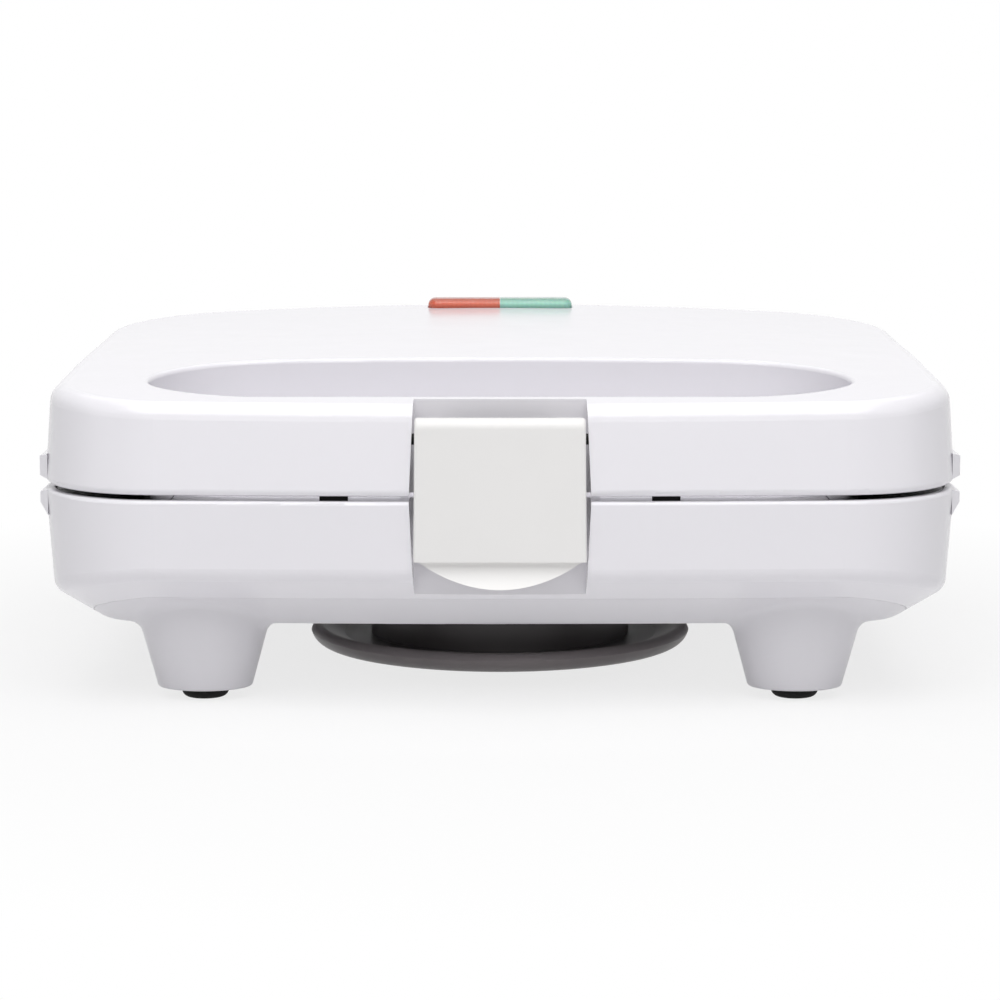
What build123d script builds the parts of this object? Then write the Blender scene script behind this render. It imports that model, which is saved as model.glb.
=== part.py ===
from build123d import *
import os
from math import cos, radians, sin, tan

# Millimetres. X is to the right, Y runs back from the front face, Z is up from the table.
# Every part is moved along Y when it is written, so that the origin is under the middle of the whole.

# Body outline at the parting plane
body_width = 250.0
body_depth = 203.0
front_bow = 5.0
front_corner_r = 35.0
back_corner_r = 38.0
draft = 4.0
wall = 2.5

# Heights
parting_z = 59.37
parting_gap = 1.3
underside_z = 21.0
pad_proud = 3.0
base_top_z = parting_z - parting_gap / 2
lid_bottom_z = parting_z + parting_gap / 2

# Lid top: distance back, height at the centre, fall at the sides
top_sections = [
    (-4.0, 82.5, 0.2),
    (20.0, 86.5, 0.4),
    (46.0, 89.1, 1.6),
    (80.0, 91.4, 2.6),
    (125.0, 93.5, 3.8),
    (165.0, 95.3, 4.7),
]
top_back_z = 96.6
top_back_fall = 5.0
top_edge_r = 5.0
lid_rim_r = 1.8
base_rim_r = 1.0

# Sloped underside of the base
slope = 32.5
bottom_side_inset = 14.5
bottom_front_inset = 28.0
bottom_back_inset = 16.0
bottom_corner_r = 14.0
crease_r = 5.0
seam_side_in = 12.5
seam_front_in = 12.9
seam_back_in = 14.0
seam_bow = 4.5
seam_corner_r = 21.0
seam_gap = 0.15

# Finger opening through the lid
opening_half = 96.5
opening_end = 34.0
opening_front_y = 13.8
opening_y = 38.0
opening_back_y = 69.5
opening_edge_r = 1.2

# White deck under the handle
deck_half = 88.0
deck_back_y = 71.0
deck_join = 1.0

# Latch and its notch
notch_half = 24.2
notch_top_half = 22.4
notch_depth = 10.2
latch_half_top = 22.6
latch_half_low = 23.0
latch_front_y = -1.8
latch_thick = 3.2
latch_top_z = 81.1
latch_face_low_z = 42.9
latch_lip_low_z = 35.7
latch_lip_half = 21.9
latch_lip_out = 2.2
latch_pin_y = 5.0
latch_pin_z = 75.0
latch_pin_d = 3.0
latch_cheek_x = 15.0
latch_cheek_w = 3.0
hook_overlap = 1.0
hook_gap = 0.3
hook_ledge_z = 50.5
hook_ledge_h = 3.0
hook_ledge_out = 4.2
hook_ledge_in = 3.0
hook_h = 3.2
hook_web = 2.5
latch_edge_r = 0.8
latch_round = 2.8
latch_hollow = 1.6
latch_lip_t = 1.2
cheek_fit = 0.2

# Cooking plates
plate_width = 224.0
plate_length = 118.0
plate_back_gap = 3.5
plate_flange = 1.2
plate_face_gap = 0.3
plate_margin = 5.0
plate_depth = 14.5
pocket_depth = 11.0
pocket_draft = 22.0
pocket_edge = 6.0
rib_width = 5.0
middle_rib = 9.0
plate_corner_r = 14.0

# Inner covers
cover_thick = 2.5
cover_fit = 0.3

# Heater, shield and controls
heater_d = 6.5
heater_half_x = 84.0
heater_front_in = 24.0
heater_bend_r = 14.0
heater_gap = 0.1
clamp_size = (16.0, 8.0)
sheet = 0.8
shield_gap = 0.8
shield_rim = 3.0
shield_under = 2.4
post_r = 4.0
post_x = 60.0
post_gap = 7.75

# Hinge
hinge_back = 6.0
hinge_barrel_r = 4.5
hinge_x = 72.0
hinge_lid_w = 15.0
hinge_base_w = 7.0
hinge_gap = 0.4
hinge_arm_gap = 0.2
hinge_pin_d = 4.0
hinge_pin_edge = 0.4
pin_fit = 0.05
lead_barrel_l = 34.0
lead_bore_r = 2.3
lead_side = 8.0
lead_off = 9.0
lead_rise_in = 3.6
lead_run = 12.9
lead_end_gap = 0.8
lead_bend_r = 3.8
sleeve_r = 1.8

# Screws
screw_d = 3.0
screw_head_d = 5.2
screw_head_h = 2.2
recess_fit = 0.2
screw_fit = 0.05
screw_slot = (3.4, 0.9)
screw_slot_h = 1.0
boss_r = 3.2
side_boss_x = 115.2
side_boss_y = (100.0, 170.0)
bar_boss_x = 55.0
bar_boss_y = 7.4

# Feet
foot_x = 81.65
foot_front_y = 34.5
foot_back_y = 168.5
foot_top = (17.9, 14.2)
foot_bottom = (13.0, 10.2)
foot_fillet_r = 4.0
foot_edge_r = 0.8
pad_r = 6.5
pad_edge_r = 2.0
pad_stem_r = 2.5
pad_stem_in = 1.5

# Cord wrap under the base
wrap_r = 56.0
wrap_y = 98.5
wrap_bottom_z = 5.0
wrap_rim_z = 9.8
wrap_core_r = 38.0
wrap_wall = 2.2
wrap_flat_in = 8.0
wrap_lip_in = 3.4
wrap_slope_in = (5.0, 10.0)
wrap_gap = 0.05

# Indicator lenses and lamps
lens_width = 23.0
lens_depth = 10.0
lens_y = 190.0
lens_top_z = 99.1
lens_gap = 0.1
lens_flange = 1.5
lens_flange_out = 1.5

# Side lugs and stop pads
lug_front_y = 28.0
lug_length = 22.0
lug_out = 0.9
lug_root = 1.5
lug_end_in = 2.5
lug_near_in = 0.8
lug_far_in = 3.4
stop_x = 44.3
stop_size = (7.4, 4.0)
stop_y = 6.5

# Cord gland
gland_x = 30.0
gland_z = 44.0
gland_hole_r = 5.5
gland_bore_r = 3.6
gland_length = 13.0
gland_grip = 6.0
gland_relief = 0.5

# Bosses, ribs and shelves in the base
floor_screw_front = (50.0, 32.0)
floor_screw_back = (60.0, 172.0)
floor_boss_z = 25.1
floor_boss_front_top = 39.0
floor_boss_under = 1.7
floor_boss_r = 4.0
floor_boss_gap = 0.1
floor_rib_h = 2.7
floor_rib_half = 1.5
floor_head_z = 23.6
shelf_z = 43.7
shelf_h = 3.0
shelf_half = 5.0
shelf_in = 3.5
lug_low_z = 51.4
lug_high_z = 68.3
lug_base_back = 0.3
lug_lid_back = 1.3
seam_top_z = 37.5
foot_join_z = 29.0
wrap_screw_r = 22.0
wrap_head_z = 8.0
wrap_boss_r = 3.5
wrap_boss_h = 4.0
wrap_post_r = 4.5
cover_pad_h = 2.0
cover_pad_r = 3.5
head_under = 0.2
join = 0.1
screw_bite = 8.0
tub_fit = 0.4
pocket_corner_r = 7.0

# Places of the controls and leads
heater_back_in = 15.0
heater_end = 12.0
heater_end_x = 18.0
heater_pin = 6.0
heater_pin_r = 1.2
clamp_wall = 1.3
plate_screw_in = 1.5
clamp_x = 35.0
thermostat_r = 8.0
thermostat_h = 4.0
thermostat_out = 3.0
thermostat_cap_in = 1.5
tab_x = 4.0
tab_size = (3.0, 0.8, 4.0)
strap_under = 5.1
strap_thick = 1.0
strap_leg = 2.0
lead_hole_r = 3.0
lead_drop_gap = 2.5
fuse_x = (-38.0, -20.0)
fuse_dy = 12.0
fuse_r = 2.0
fuse_gap = 0.7
clip_wall = 1.0
clip_end = 3.0
terminal_block_plan = (0.0, 28.0, 160.0, 174.0)
terminal_block_h = 9.0
terminal_well_r = 1.6
terminal_mouth = (1.5, 3.0, 6.0)
terminal_slit = 0.5
fence_thick = 1.5
fence_y = (3.0, 7.0)
fence_h = 3.0
wire_z = 28.5
wire_r = 1.1
wire_bend_r = 3.0
lid_wire_over = 2.9
lens_flange_gap = 0.25
lens_corner_r = 3.0
lens_top_r = 2.2
lamp_holder_under = 1.6
lamp_holder_h = 1.5
lamp_holder_d = 14.0
lamp_screw_x = 32.0
lamp_r = 1.9
lamp_length = 15.0
gland_out = 6.5
gland_flange = 1.8
gland_rim = 2.5
gland_fit = 0.1
gland_flange_in = 1.7
stop_clear = 0.3

# Worked out from the sizes above
axis_y = body_depth + hinge_back
plate_back_y = body_depth - wall - plate_back_gap
plate_y = plate_back_y - plate_length / 2
post_dy = plate_length / 2 - heater_front_in - heater_d / 2 - post_gap - post_r
plate_low_rim = parting_z - plate_face_gap / 2
cover_top_z = plate_low_rim - plate_flange
cover_low_z = cover_top_z - cover_thick
plate_bottom_z = plate_low_rim - plate_depth
heater_z = plate_bottom_z - heater_d / 2 - heater_gap
shield_floor_z = plate_bottom_z - heater_d - shield_under
inner_floor_z = underside_z + wall
floor_boss_back_top = shield_floor_z - floor_boss_under
lead_rise_y = body_depth - wall - lead_rise_in
lead_drop_y = plate_y + heater_end - heater_pin - lead_drop_gap
fuse_y = plate_y + fuse_dy
lid_wire_z = 2 * parting_z - shield_floor_z + lid_wire_over


def top_height(y):
    """The height of the lid's top at its middle, straight between the sections"""
    rows = [(row[0], row[1]) for row in top_sections] + [(body_depth + 4, top_back_z)]
    for (y0, z0), (y1, z1) in zip(rows, rows[1:]):
        if y0 <= y <= y1:
            return z0 + (z1 - z0) * (y - y0) / (y1 - y0)
    return top_back_z


lens_front_y = lens_y - lens_depth / 2 - lens_flange_out
lens_flange_z = top_height(lens_front_y) - wall - lens_flange_gap - lens_flange
lamp_holder_z = lens_flange_z - lamp_holder_h - lamp_holder_under


def bowed_plan(half, front, back, bow, front_r, back_r):
    """A plan outline with a bowed front and four round corners"""
    arc = ThreePointArc((-half, front + bow), (0, front), (half, front + bow))
    rest = Polyline((half, front + bow), (half, back), (-half, back), (-half, front + bow))
    face = make_face(arc + rest)
    face = fillet(face.vertices().sort_by(Axis.Y)[:2], front_r)
    return fillet(face.vertices().sort_by(Axis.Y)[-2:], back_r)


def body_plan(inset=0.0):
    """The body outline at the parting plane, moved inwards by inset"""
    half = body_width / 2 - inset
    back = body_depth - inset
    return bowed_plan(half, inset, back, front_bow, front_corner_r - inset, back_corner_r - inset)


def seam_plan(inset=0.0):
    """The line where the bottom cover meets the lower housing, moved inwards by inset"""
    half = body_width / 2 - seam_side_in - inset
    back = body_depth - seam_back_in - inset
    corner_r = seam_corner_r - inset
    return bowed_plan(half, seam_front_in + inset, back, seam_bow, corner_r, corner_r)


def deck_plan(grow=0.0):
    """The lower housing's deck under the handle, inside its front wall"""
    reach = Pos(0, (deck_back_y + grow) / 2) * Rectangle(2 * (deck_half + grow), deck_back_y + grow)
    return body_plan(wall - deck_join) & reach


def prism(plan, z_low, z_high):
    """A straight prism of a plan between two heights"""
    return extrude(Pos(0, 0, z_low) * plan, amount=z_high - z_low)


def box(x0, x1, y0, y1, z0, z1):
    """A box between two corners"""
    middle = Pos((x0 + x1) / 2, (y0 + y1) / 2, (z0 + z1) / 2)
    return middle * Box(x1 - x0, y1 - y0, z1 - z0)


def rod(x, y, z0, z1, radius):
    """An upright cylinder between two heights"""
    return Pos(x, y, (z0 + z1) / 2) * Cylinder(radius, z1 - z0)


def rod_x(x0, x1, y, z, radius):
    """A cylinder along X"""
    return Pos((x0 + x1) / 2, y, z) * Rot(0, 90, 0) * Cylinder(radius, x1 - x0)


def rod_y(x, y0, y1, z, radius):
    """A cylinder along Y"""
    return Pos(x, (y0 + y1) / 2, z) * Rot(90, 0, 0) * Cylinder(radius, y1 - y0)


def tube(points, bends, radius):
    """A round bar or lead along a path of straight runs and bends"""
    path = FilletPolyline(*points, radius=bends) if len(points) > 2 else Line(*points)
    start = Plane(origin=path @ 0, z_dir=path % 0)
    return sweep(start * Circle(radius), path=path)


def mirrored(shape):
    """The same thing above the parting plane"""
    return mirror(shape, about=Plane.XY.offset(parting_z))


def both_sides(make):
    """The left and right copies of something made for a sign"""
    return make(-1) + make(1)


def screw(x, y, head_z, tip_z):
    """A pan-head screw whose head sits beyond head_z, with a cross recess"""
    up = 1 if tip_z > head_z else -1
    head = rod(x, y, *sorted((head_z, head_z - up * screw_head_h)), screw_head_d / 2)
    shank = rod(x, y, *sorted((head_z, tip_z)), screw_d / 2)
    slot_z = head_z - up * screw_head_h
    long, thin = screw_slot
    deep = 2 * screw_slot_h
    slot = Pos(x, y, slot_z) * (Box(long, thin, deep) + Box(thin, long, deep))
    return head + shank - slot


def slope_form(inset=0.0):
    """Everything inside the sloped underside, or inside it at a wall's thickness"""
    start = -inset * tan(radians(slope / 2))
    rise = base_top_z - underside_z + crease_r
    plans = []
    for up in (0, rise):
        grow = start + up / tan(radians(slope))
        half = body_width / 2 - bottom_side_inset + grow
        front = bottom_front_inset - grow
        back = body_depth - bottom_back_inset + grow
        corner_r = bottom_corner_r + grow
        plan = bowed_plan(half, front, back, front_bow, corner_r, corner_r)
        plans.append(Pos(0, 0, underside_z + inset + up) * plan)
    return loft(plans, ruled=True)


def base_form(inset=0.0):
    """The base's outer form, or its inside at a wall's thickness"""
    height = base_top_z - underside_z + 1
    plan = Pos(0, 0, base_top_z) * body_plan(inset)
    sides = extrude(plan, amount=height, dir=(0, 0, -1), taper=draft)
    form = sides & slope_form(inset)
    if inset:
        return form
    form = fillet(edges_between(form, underside_z + 1, base_top_z - 1), crease_r)
    form = fillet(level_edges(form, underside_z), crease_r)
    return fillet(level_edges(form, base_top_z), base_rim_r)


def level_edges(shape, z):
    """The edges that lie flat at one height"""
    return [
        e for e in shape.edges()
        if abs(e.center().Z - z) < 0.05 and e.bounding_box().size.Z < 0.1
    ]


def edges_between(shape, z_low, z_high):
    """The edges that reach neither of two heights"""
    spans = [(e, e.bounding_box()) for e in shape.edges()]
    return [e for e, box in spans if z_low < box.min.Z and box.max.Z < z_high]


def top_limit(drop=0.0):
    """Everything below the lid's crowned top, lowered by drop"""
    half = body_width * 0.56
    faces = []
    for y, z, fall in top_sections + [(body_depth + 4, top_back_z, top_back_fall)]:
        side_z = z - drop - fall * (half / (body_width / 2)) ** 2
        arc = ThreePointArc((-half, y, side_z), (0, y, z - drop), (half, y, side_z))
        low = lid_bottom_z - 10
        rest = Polyline((half, y, side_z), (half, y, low), (-half, y, low), (-half, y, side_z))
        faces.append(make_face(arc + rest))
    return loft(faces)


def lid_form(inset=0.0):
    """The lid's outer form, or its inside at a wall's thickness"""
    plan = Pos(0, 0, lid_bottom_z) * body_plan(inset)
    form = extrude(plan, amount=top_back_z - lid_bottom_z + 8, taper=draft) & top_limit(inset)
    if inset:
        return form
    form = fillet(form.faces().sort_by(Axis.Z)[-1].edges(), top_edge_r)
    return fillet(level_edges(form, lid_bottom_z), lid_rim_r)


def opening_plan(grow=0.0):
    """The finger opening seen from above: straight in front and behind, with oval ends"""
    x = opening_half - opening_end
    end = opening_end + grow
    front = opening_y - opening_front_y + grow
    rear = opening_back_y - opening_y + grow
    outline = Line((-x, opening_y - front), (x, opening_y - front))
    outline += EllipticalCenterArc((x, opening_y), end, front, start_angle=270, arc_size=90)
    outline += EllipticalCenterArc((x, opening_y), end, rear, start_angle=0, arc_size=90)
    outline += Line((x, opening_y + rear), (-x, opening_y + rear))
    outline += EllipticalCenterArc((-x, opening_y), end, rear, start_angle=90, arc_size=90)
    outline += EllipticalCenterArc((-x, opening_y), end, front, start_angle=180, arc_size=90)
    return make_face(outline)


def notch(grow=0.0, depth=notch_depth):
    """The latch's slot in both halves, widest at the parting plane"""
    half = notch_half + grow
    end = notch_top_half + grow
    low = underside_z - 2
    high = top_back_z + 2
    side = Polyline((end, low), (half, parting_z), (end, high))
    other = Polyline((-end, high), (-half, parting_z), (-end, low))
    outline = side + Line((end, high), (-end, high)) + other + Line((-end, low), (end, low))
    face = Plane.XZ * make_face(outline)
    return Pos(0, depth + grow, 0) * extrude(face, amount=depth + grow + 20)


def lug(z0, z1, low_in, high_in):
    """A tapered grip on each side of the body, next to the parting gap"""
    def one(sign):
        x = sign * body_width / 2
        y0, y1 = lug_front_y, lug_front_y + lug_length
        root = upright(x - sign * lug_root, y0, y1, z0, z1)
        outer = upright(x + sign * lug_out, y0 + lug_end_in, y1 - lug_end_in, z0 + low_in, z1 - high_in)
        return loft([root, outer])
    return both_sides(one)


def upright(x, y0, y1, z0, z1):
    """An upright rectangle that faces along X"""
    return make_face(Polyline((x, y0, z0), (x, y1, z0), (x, y1, z1), (x, y0, z1), (x, y0, z0)))


def plate_opening(grow=0.0):
    """The plan of the hole that a plate's tub goes through"""
    width = plate_width - 2 * plate_margin + 2 * grow
    length = plate_length - 2 * plate_margin + 2 * grow
    return Pos(0, plate_y) * RectangleRounded(width, length, plate_corner_r - plate_margin + grow)


def cover_bosses(z0, z1, radius):
    """Bosses or holes down both sides of a half"""
    out = None
    for sign in (-1, 1):
        for y in side_boss_y:
            one = rod(sign * side_boss_x, y, z0, z1, radius)
            out = one if out is None else out + one
    return out


def bar_bosses(z0, z1, radius):
    """Bosses or holes in the handle bar"""
    return both_sides(lambda s: rod(s * bar_boss_x, bar_boss_y, z0, z1, radius))


def hinge_arm(x0, x1, up):
    """A hinge barrel along X with the arm that joins it to a half's back wall"""
    z_far = parting_z + up * hinge_barrel_r
    z_near = parting_z + up * (parting_gap / 2 + hinge_arm_gap)
    barrel = rod_x(x0, x1, axis_y, parting_z, hinge_barrel_r)
    arm = box(x0, x1, body_depth - wall, axis_y, *sorted((z_near, z_far)))
    return barrel + arm


def hinge_places():
    """The X ranges of the lid's barrel and the base's two at each hinge"""
    places = []
    for sign in (-1, 1):
        middle = sign * hinge_x
        lid = (middle - hinge_lid_w / 2, middle + hinge_lid_w / 2)
        left = (lid[0] - hinge_gap - hinge_base_w, lid[0] - hinge_gap)
        right = (lid[1] + hinge_gap, lid[1] + hinge_gap + hinge_base_w)
        places.append((lid, left, right))
    return places


def lead_path(up):
    """Points of the sleeved lead from behind a plate, out at the back and along the hinge line"""
    x_wall = up * (lead_barrel_l + lead_side)
    z = parting_z + up * lead_off
    return [
        (x_wall, lead_rise_y, z),
        (x_wall, axis_y, z),
        (x_wall, axis_y, parting_z),
        (up * lead_end_gap, axis_y, parting_z),
    ]


def latch_pin_hole(radius):
    """The line of the latch's pin"""
    half = notch_half + wall + 0.5
    return rod_x(-half, half, latch_pin_y, latch_pin_z, radius)


def make_base_shell():
    """White lower housing: its band and slope, deck, hook ledge, lugs, bosses and hinge arms"""
    shell = base_form() + lug(lug_low_z, base_top_z - lug_base_back, lug_far_in, lug_near_in)
    inside = base_form(wall) + prism(body_plan(wall), base_top_z, base_top_z + 5)
    inside = inside - notch(wall)
    seam = prism(seam_plan(), underside_z - 5, seam_top_z)
    shell = shell - inside - notch() - seam
    ledge_y = notch_depth - hook_ledge_out
    half = notch_half - hook_ledge_in
    shell += box(-half, half, ledge_y, notch_depth + 1, hook_ledge_z, hook_ledge_z + hook_ledge_h)
    shell += prism(deck_plan(), cover_low_z, cover_top_z) - notch(wall - deck_join)
    shell += base_bosses() & base_form(1.0)
    for _, left, right in hinge_places():
        shell += hinge_arm(*left, -1)
        shell += hinge_arm(*right, -1)
    shell += hinge_arm(-lead_barrel_l, -hinge_gap / 2, -1)
    shell -= hinge_bores() + lead_bore(-1)
    shell -= rod_y(gland_x, body_depth - 10, body_depth + 5, gland_z, gland_hole_r)
    hole_r = screw_d / 2 + screw_fit
    for x, y in floor_screw_places():
        shell -= rod(x, y, floor_boss_z - 1, floor_boss_top(y) - 2, hole_r)
    return shell - cover_bosses(shelf_z - 1, shelf_z + shelf_h + 1, hole_r)


def floor_screw_places():
    """Where the bottom cover's four screws go up into the lower housing"""
    front = [(sign * floor_screw_front[0], floor_screw_front[1]) for sign in (-1, 1)]
    back = [(sign * floor_screw_back[0], floor_screw_back[1]) for sign in (-1, 1)]
    return front + back


def floor_boss_top(y):
    """How high a boss may stand: lower at the back, under the heat shield"""
    return floor_boss_front_top if y < body_depth / 2 else floor_boss_back_top


def base_bosses():
    """Bosses for the bottom cover's screws, with ribs to the walls, and shelves for the inner cover"""
    parts = None
    for x, y in floor_screw_places():
        top = floor_boss_top(y)
        boss = rod(x, y, floor_boss_z, top, floor_boss_r)
        y0, y1 = (0, y) if y < body_depth / 2 else (y, body_depth)
        rib = box(x - floor_rib_half, x + floor_rib_half, y0, y1, top - floor_rib_h, top)
        parts = boss + rib if parts is None else parts + boss + rib
    for sign in (-1, 1):
        for y in side_boss_y:
            x0, x1 = sorted((sign * (side_boss_x - shelf_in), sign * body_width / 2))
            parts += box(x0, x1, y - shelf_half, y + shelf_half, shelf_z, shelf_z + shelf_h)
    return parts


def hinge_bores():
    """The two bores for the hinge pins"""
    reach = hinge_lid_w / 2 + hinge_gap + hinge_base_w + 1
    radius = hinge_pin_d / 2 + pin_fit
    return both_sides(
        lambda s: rod_x(s * hinge_x - reach, s * hinge_x + reach, axis_y, parting_z, radius)
    )


def lead_bore(up):
    """The way for the sleeved lead through one half's barrel and back wall"""
    x0, x1 = sorted((up * (lead_barrel_l + 1), up * (hinge_gap / 2 - 1)))
    bore = rod_x(x0, x1, axis_y, parting_z, lead_bore_r)
    x = up * (lead_barrel_l + lead_side)
    return bore + rod_y(x, lead_rise_y, body_depth + 2, parting_z + up * lead_off, lead_bore_r)


def foot_cone(x, y, inset=0.0):
    """One hollow foot's tapered oval form"""
    rise = foot_join_z - pad_proud
    spread = rise / (underside_z - pad_proud)
    top_x = foot_bottom[0] + (foot_top[0] - foot_bottom[0]) * spread - inset
    top_y = foot_bottom[1] + (foot_top[1] - foot_bottom[1]) * spread - inset
    low_z = pad_proud + inset
    low = Pos(x, y, low_z) * Ellipse(foot_bottom[0] - inset, foot_bottom[1] - inset)
    high = Pos(x, y, foot_join_z) * Ellipse(top_x, top_y)
    return loft([low.faces()[0], high.faces()[0]])


def foot_places():
    """Centres of the four feet"""
    return [(s * foot_x, y) for y in (foot_front_y, foot_back_y) for s in (-1, 1)]


def make_bottom_cover():
    """White bottom cover inside the seam, with four hollow feet and its screw bosses"""
    form = base_form()
    for x, y in foot_places():
        form += foot_cone(x, y)
    joins = [
        e for e in form.edges()
        if e.center().Z > underside_z - 1 and near_foot(e) and e.bounding_box().size.Z < 9
    ]
    form = fillet(joins, foot_fillet_r)
    form = fillet(level_edges(form, pad_proud), foot_edge_r)
    cover = form - base_form(wall) - prism(body_plan(wall), base_top_z, base_top_z + 5)
    for x, y in foot_places():
        cover -= foot_cone(x, y, wall)
    cover &= prism(seam_plan(seam_gap), 0, seam_top_z)
    hole_r = screw_d / 2 + screw_fit
    recess_r = screw_head_d / 2 + recess_fit
    for x, y in floor_screw_places():
        cover += rod(x, y, underside_z + 1, floor_boss_z - floor_boss_gap, floor_boss_r)
        cover -= rod(x, y, underside_z - 1, floor_head_z, recess_r)
        cover -= rod(x, y, underside_z, floor_boss_z + 1, hole_r)
    for x, y in wrap_screw_places():
        cover += rod(x, y, underside_z + 1, inner_floor_z + wrap_boss_h, wrap_boss_r)
        cover -= rod(x, y, underside_z - 1, inner_floor_z + wrap_boss_h + 1, hole_r)
    for x, y in foot_places():
        cover -= rod(x, y, pad_proud - 1, pad_proud + wall + 1, pad_stem_r + pin_fit)
    x0, x1, y0, y1 = terminal_block_plan
    for x in (x0 - join - fence_thick, x1 + join):
        low, high = fence_y
        cover += box(x, x + fence_thick, y0 + low, y0 + high, underside_z + 1, inner_floor_z + fence_h)
    return cover


def near_foot(edge):
    """Whether an edge runs round the top of a foot"""
    c = edge.center()
    reach_x, reach_y = foot_top[0] + 3, foot_top[1] + 3
    return any(abs(c.X - x) < reach_x and abs(c.Y - y) < reach_y for x, y in foot_places())


def wrap_screw_places():
    """Three screws on a circle inside the cord wrap"""
    angles = (90, 210, 330)
    return [
        (wrap_screw_r * cos(radians(a)), wrap_y + wrap_screw_r * sin(radians(a))) for a in angles
    ]


def make_foot_pad(x, y):
    """Black rubber pad with a stem that plugs into a foot"""
    pad = rod(x, y, 0, pad_proud, pad_r)
    pad = fillet(pad.edges().group_by(Axis.Z)[0], pad_edge_r)
    return pad + rod(x, y, pad_proud - 0.5, pad_proud + wall + pad_stem_in, pad_stem_r)


def make_cord_wrap():
    """Dark dish on a hollow core that the cord winds round"""
    low = wrap_bottom_z
    floor = low + wrap_wall
    top = underside_z - wrap_gap
    core_in = wrap_core_r - wrap_wall
    flat_r = wrap_r - wrap_flat_in
    lip_r = wrap_r - wrap_lip_in
    slope_high, slope_low = wrap_slope_in
    widest = (wrap_r - 0.2, (low + wrap_rim_z) / 2 + 0.6)
    rim = ThreePointArc((flat_r, low), (wrap_r - 1.0, low + 1.3), widest)
    lip = ThreePointArc(widest, (wrap_r - 1.4, wrap_rim_z - 0.3), (lip_r, wrap_rim_z))
    rest = Polyline(
        (lip_r, wrap_rim_z),
        (wrap_r - slope_high, wrap_rim_z - 0.5),
        (wrap_r - slope_low, floor),
        (wrap_core_r, floor),
        (wrap_core_r, top),
        (core_in, top),
        (core_in, floor),
        (0, floor),
        (0, low),
        (flat_r, low),
    )
    section = Plane.XZ * make_face(rim + lip + rest)
    wrap = Pos(0, wrap_y, 0) * revolve(section, axis=Axis.Z)
    for x, y in wrap_screw_places():
        wrap += rod(x, y, floor - 1, top, wrap_post_r)
        wrap -= rod(x, y, low - 1, wrap_head_z, screw_head_d / 2 + recess_fit)
        wrap -= rod(x, y, low, top + 1, screw_d / 2 + screw_fit)
    return wrap


def inner_cover_ring():
    """The black ring inside a rim, with the hole that a plate's tub goes through"""
    ring = prism(body_plan(wall + cover_fit), cover_low_z, cover_top_z)
    ring -= prism(plate_opening(tub_fit), cover_low_z - 1, cover_top_z + 1)
    return ring - notch(wall + cover_fit)


def make_base_inner_cover():
    """Black lower inner cover round the deck, with bosses for its screws"""
    hole_r = screw_d / 2 + screw_fit
    ring = inner_cover_ring() - prism(deck_plan(cover_fit), cover_low_z - 1, cover_top_z + 1)
    cover = ring + cover_bosses(shelf_z + shelf_h + join, cover_low_z + 1, boss_r)
    return cover - cover_bosses(shelf_z, cover_low_z + 0.5, hole_r)


def make_lid_inner_cover():
    """Black upper inner cover, open under the finger opening, with recesses for its screws"""
    hole_r = screw_d / 2 + screw_fit
    recess_r = screw_head_d / 2 + recess_fit
    low = cover_low_z - cover_pad_h
    head = cover_top_z - screw_head_h - head_under
    cover = inner_cover_ring() + cover_bosses(low, cover_low_z + 1, cover_pad_r)
    cover += bar_bosses(low, cover_low_z + 1, cover_pad_r)
    cover -= cover_bosses(head, cover_top_z + 1, recess_r) + bar_bosses(head, cover_top_z + 1, recess_r)
    cover -= cover_bosses(low - 1, head + 1, hole_r) + bar_bosses(low - 1, head + 1, hole_r)
    cover = mirrored(cover)
    return cover - prism(opening_plan(wall + cover_fit), parting_z, parting_z + 20)


def make_lid_shell():
    """White upper housing with the finger opening, latch notch, lugs, lens slot and hinge arms"""
    form = lid_form() + lug(lid_bottom_z + lug_lid_back, lug_high_z, lug_near_in, lug_near_in)
    form -= prism(opening_plan(), lid_bottom_z - 5, top_back_z + 5)
    rim = [
        e for e in form.edges()
        if e.center().Z > top_sections[0][1] and inside_opening(e.center()) and e.bounding_box().size.Z < 10
    ]
    form = fillet(rim, opening_edge_r)
    inside = lid_form(wall) + prism(body_plan(wall), lid_bottom_z - 5, lid_bottom_z)
    inside = inside - prism(opening_plan(wall), lid_bottom_z - 6, top_back_z + 5) - notch(wall)
    shell = form - inside - notch()
    low = mirror_z(cover_low_z - cover_pad_h - join)
    bosses = cover_bosses(low, top_back_z, boss_r) + bar_bosses(low, top_back_z, boss_r)
    lamp_boss_z = lamp_holder_z + lamp_holder_h + join
    bosses += both_sides(lambda s: rod(s * lamp_screw_x, lens_y, lamp_boss_z, top_back_z, boss_r))
    shell += bosses & lid_form(1.0)
    for lid, _, _ in hinge_places():
        shell += hinge_arm(*lid, 1)
    shell += hinge_arm(hinge_gap / 2, lead_barrel_l, 1)
    shell -= hinge_bores() + lead_bore(1)
    hole_r = screw_d / 2 + screw_fit
    shell -= cover_bosses(low - 1, low + screw_bite, hole_r) + bar_bosses(low - 1, low + screw_bite, hole_r)
    shell -= both_sides(
        lambda s: rod(s * lamp_screw_x, lens_y, lamp_holder_z, lamp_holder_z + lamp_holder_h + 3.5, hole_r)
    )
    slot = Pos(0, lens_y) * RectangleRounded(2 * lens_width + 0.3, lens_depth + 0.3, lens_corner_r + 0.15)
    shell -= prism(slot, top_back_z - 9, top_back_z + 5)
    return shell - latch_pin_hole(latch_pin_d / 2 + pin_fit)


def inside_opening(point):
    """Whether a point lies on the rim of the finger opening"""
    return abs(point.X) < opening_half + 1 and opening_front_y - 1 < point.Y < opening_back_y + 1


def mirror_z(z):
    """The height that mirrors z about the parting plane"""
    return 2 * parting_z - z


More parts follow.
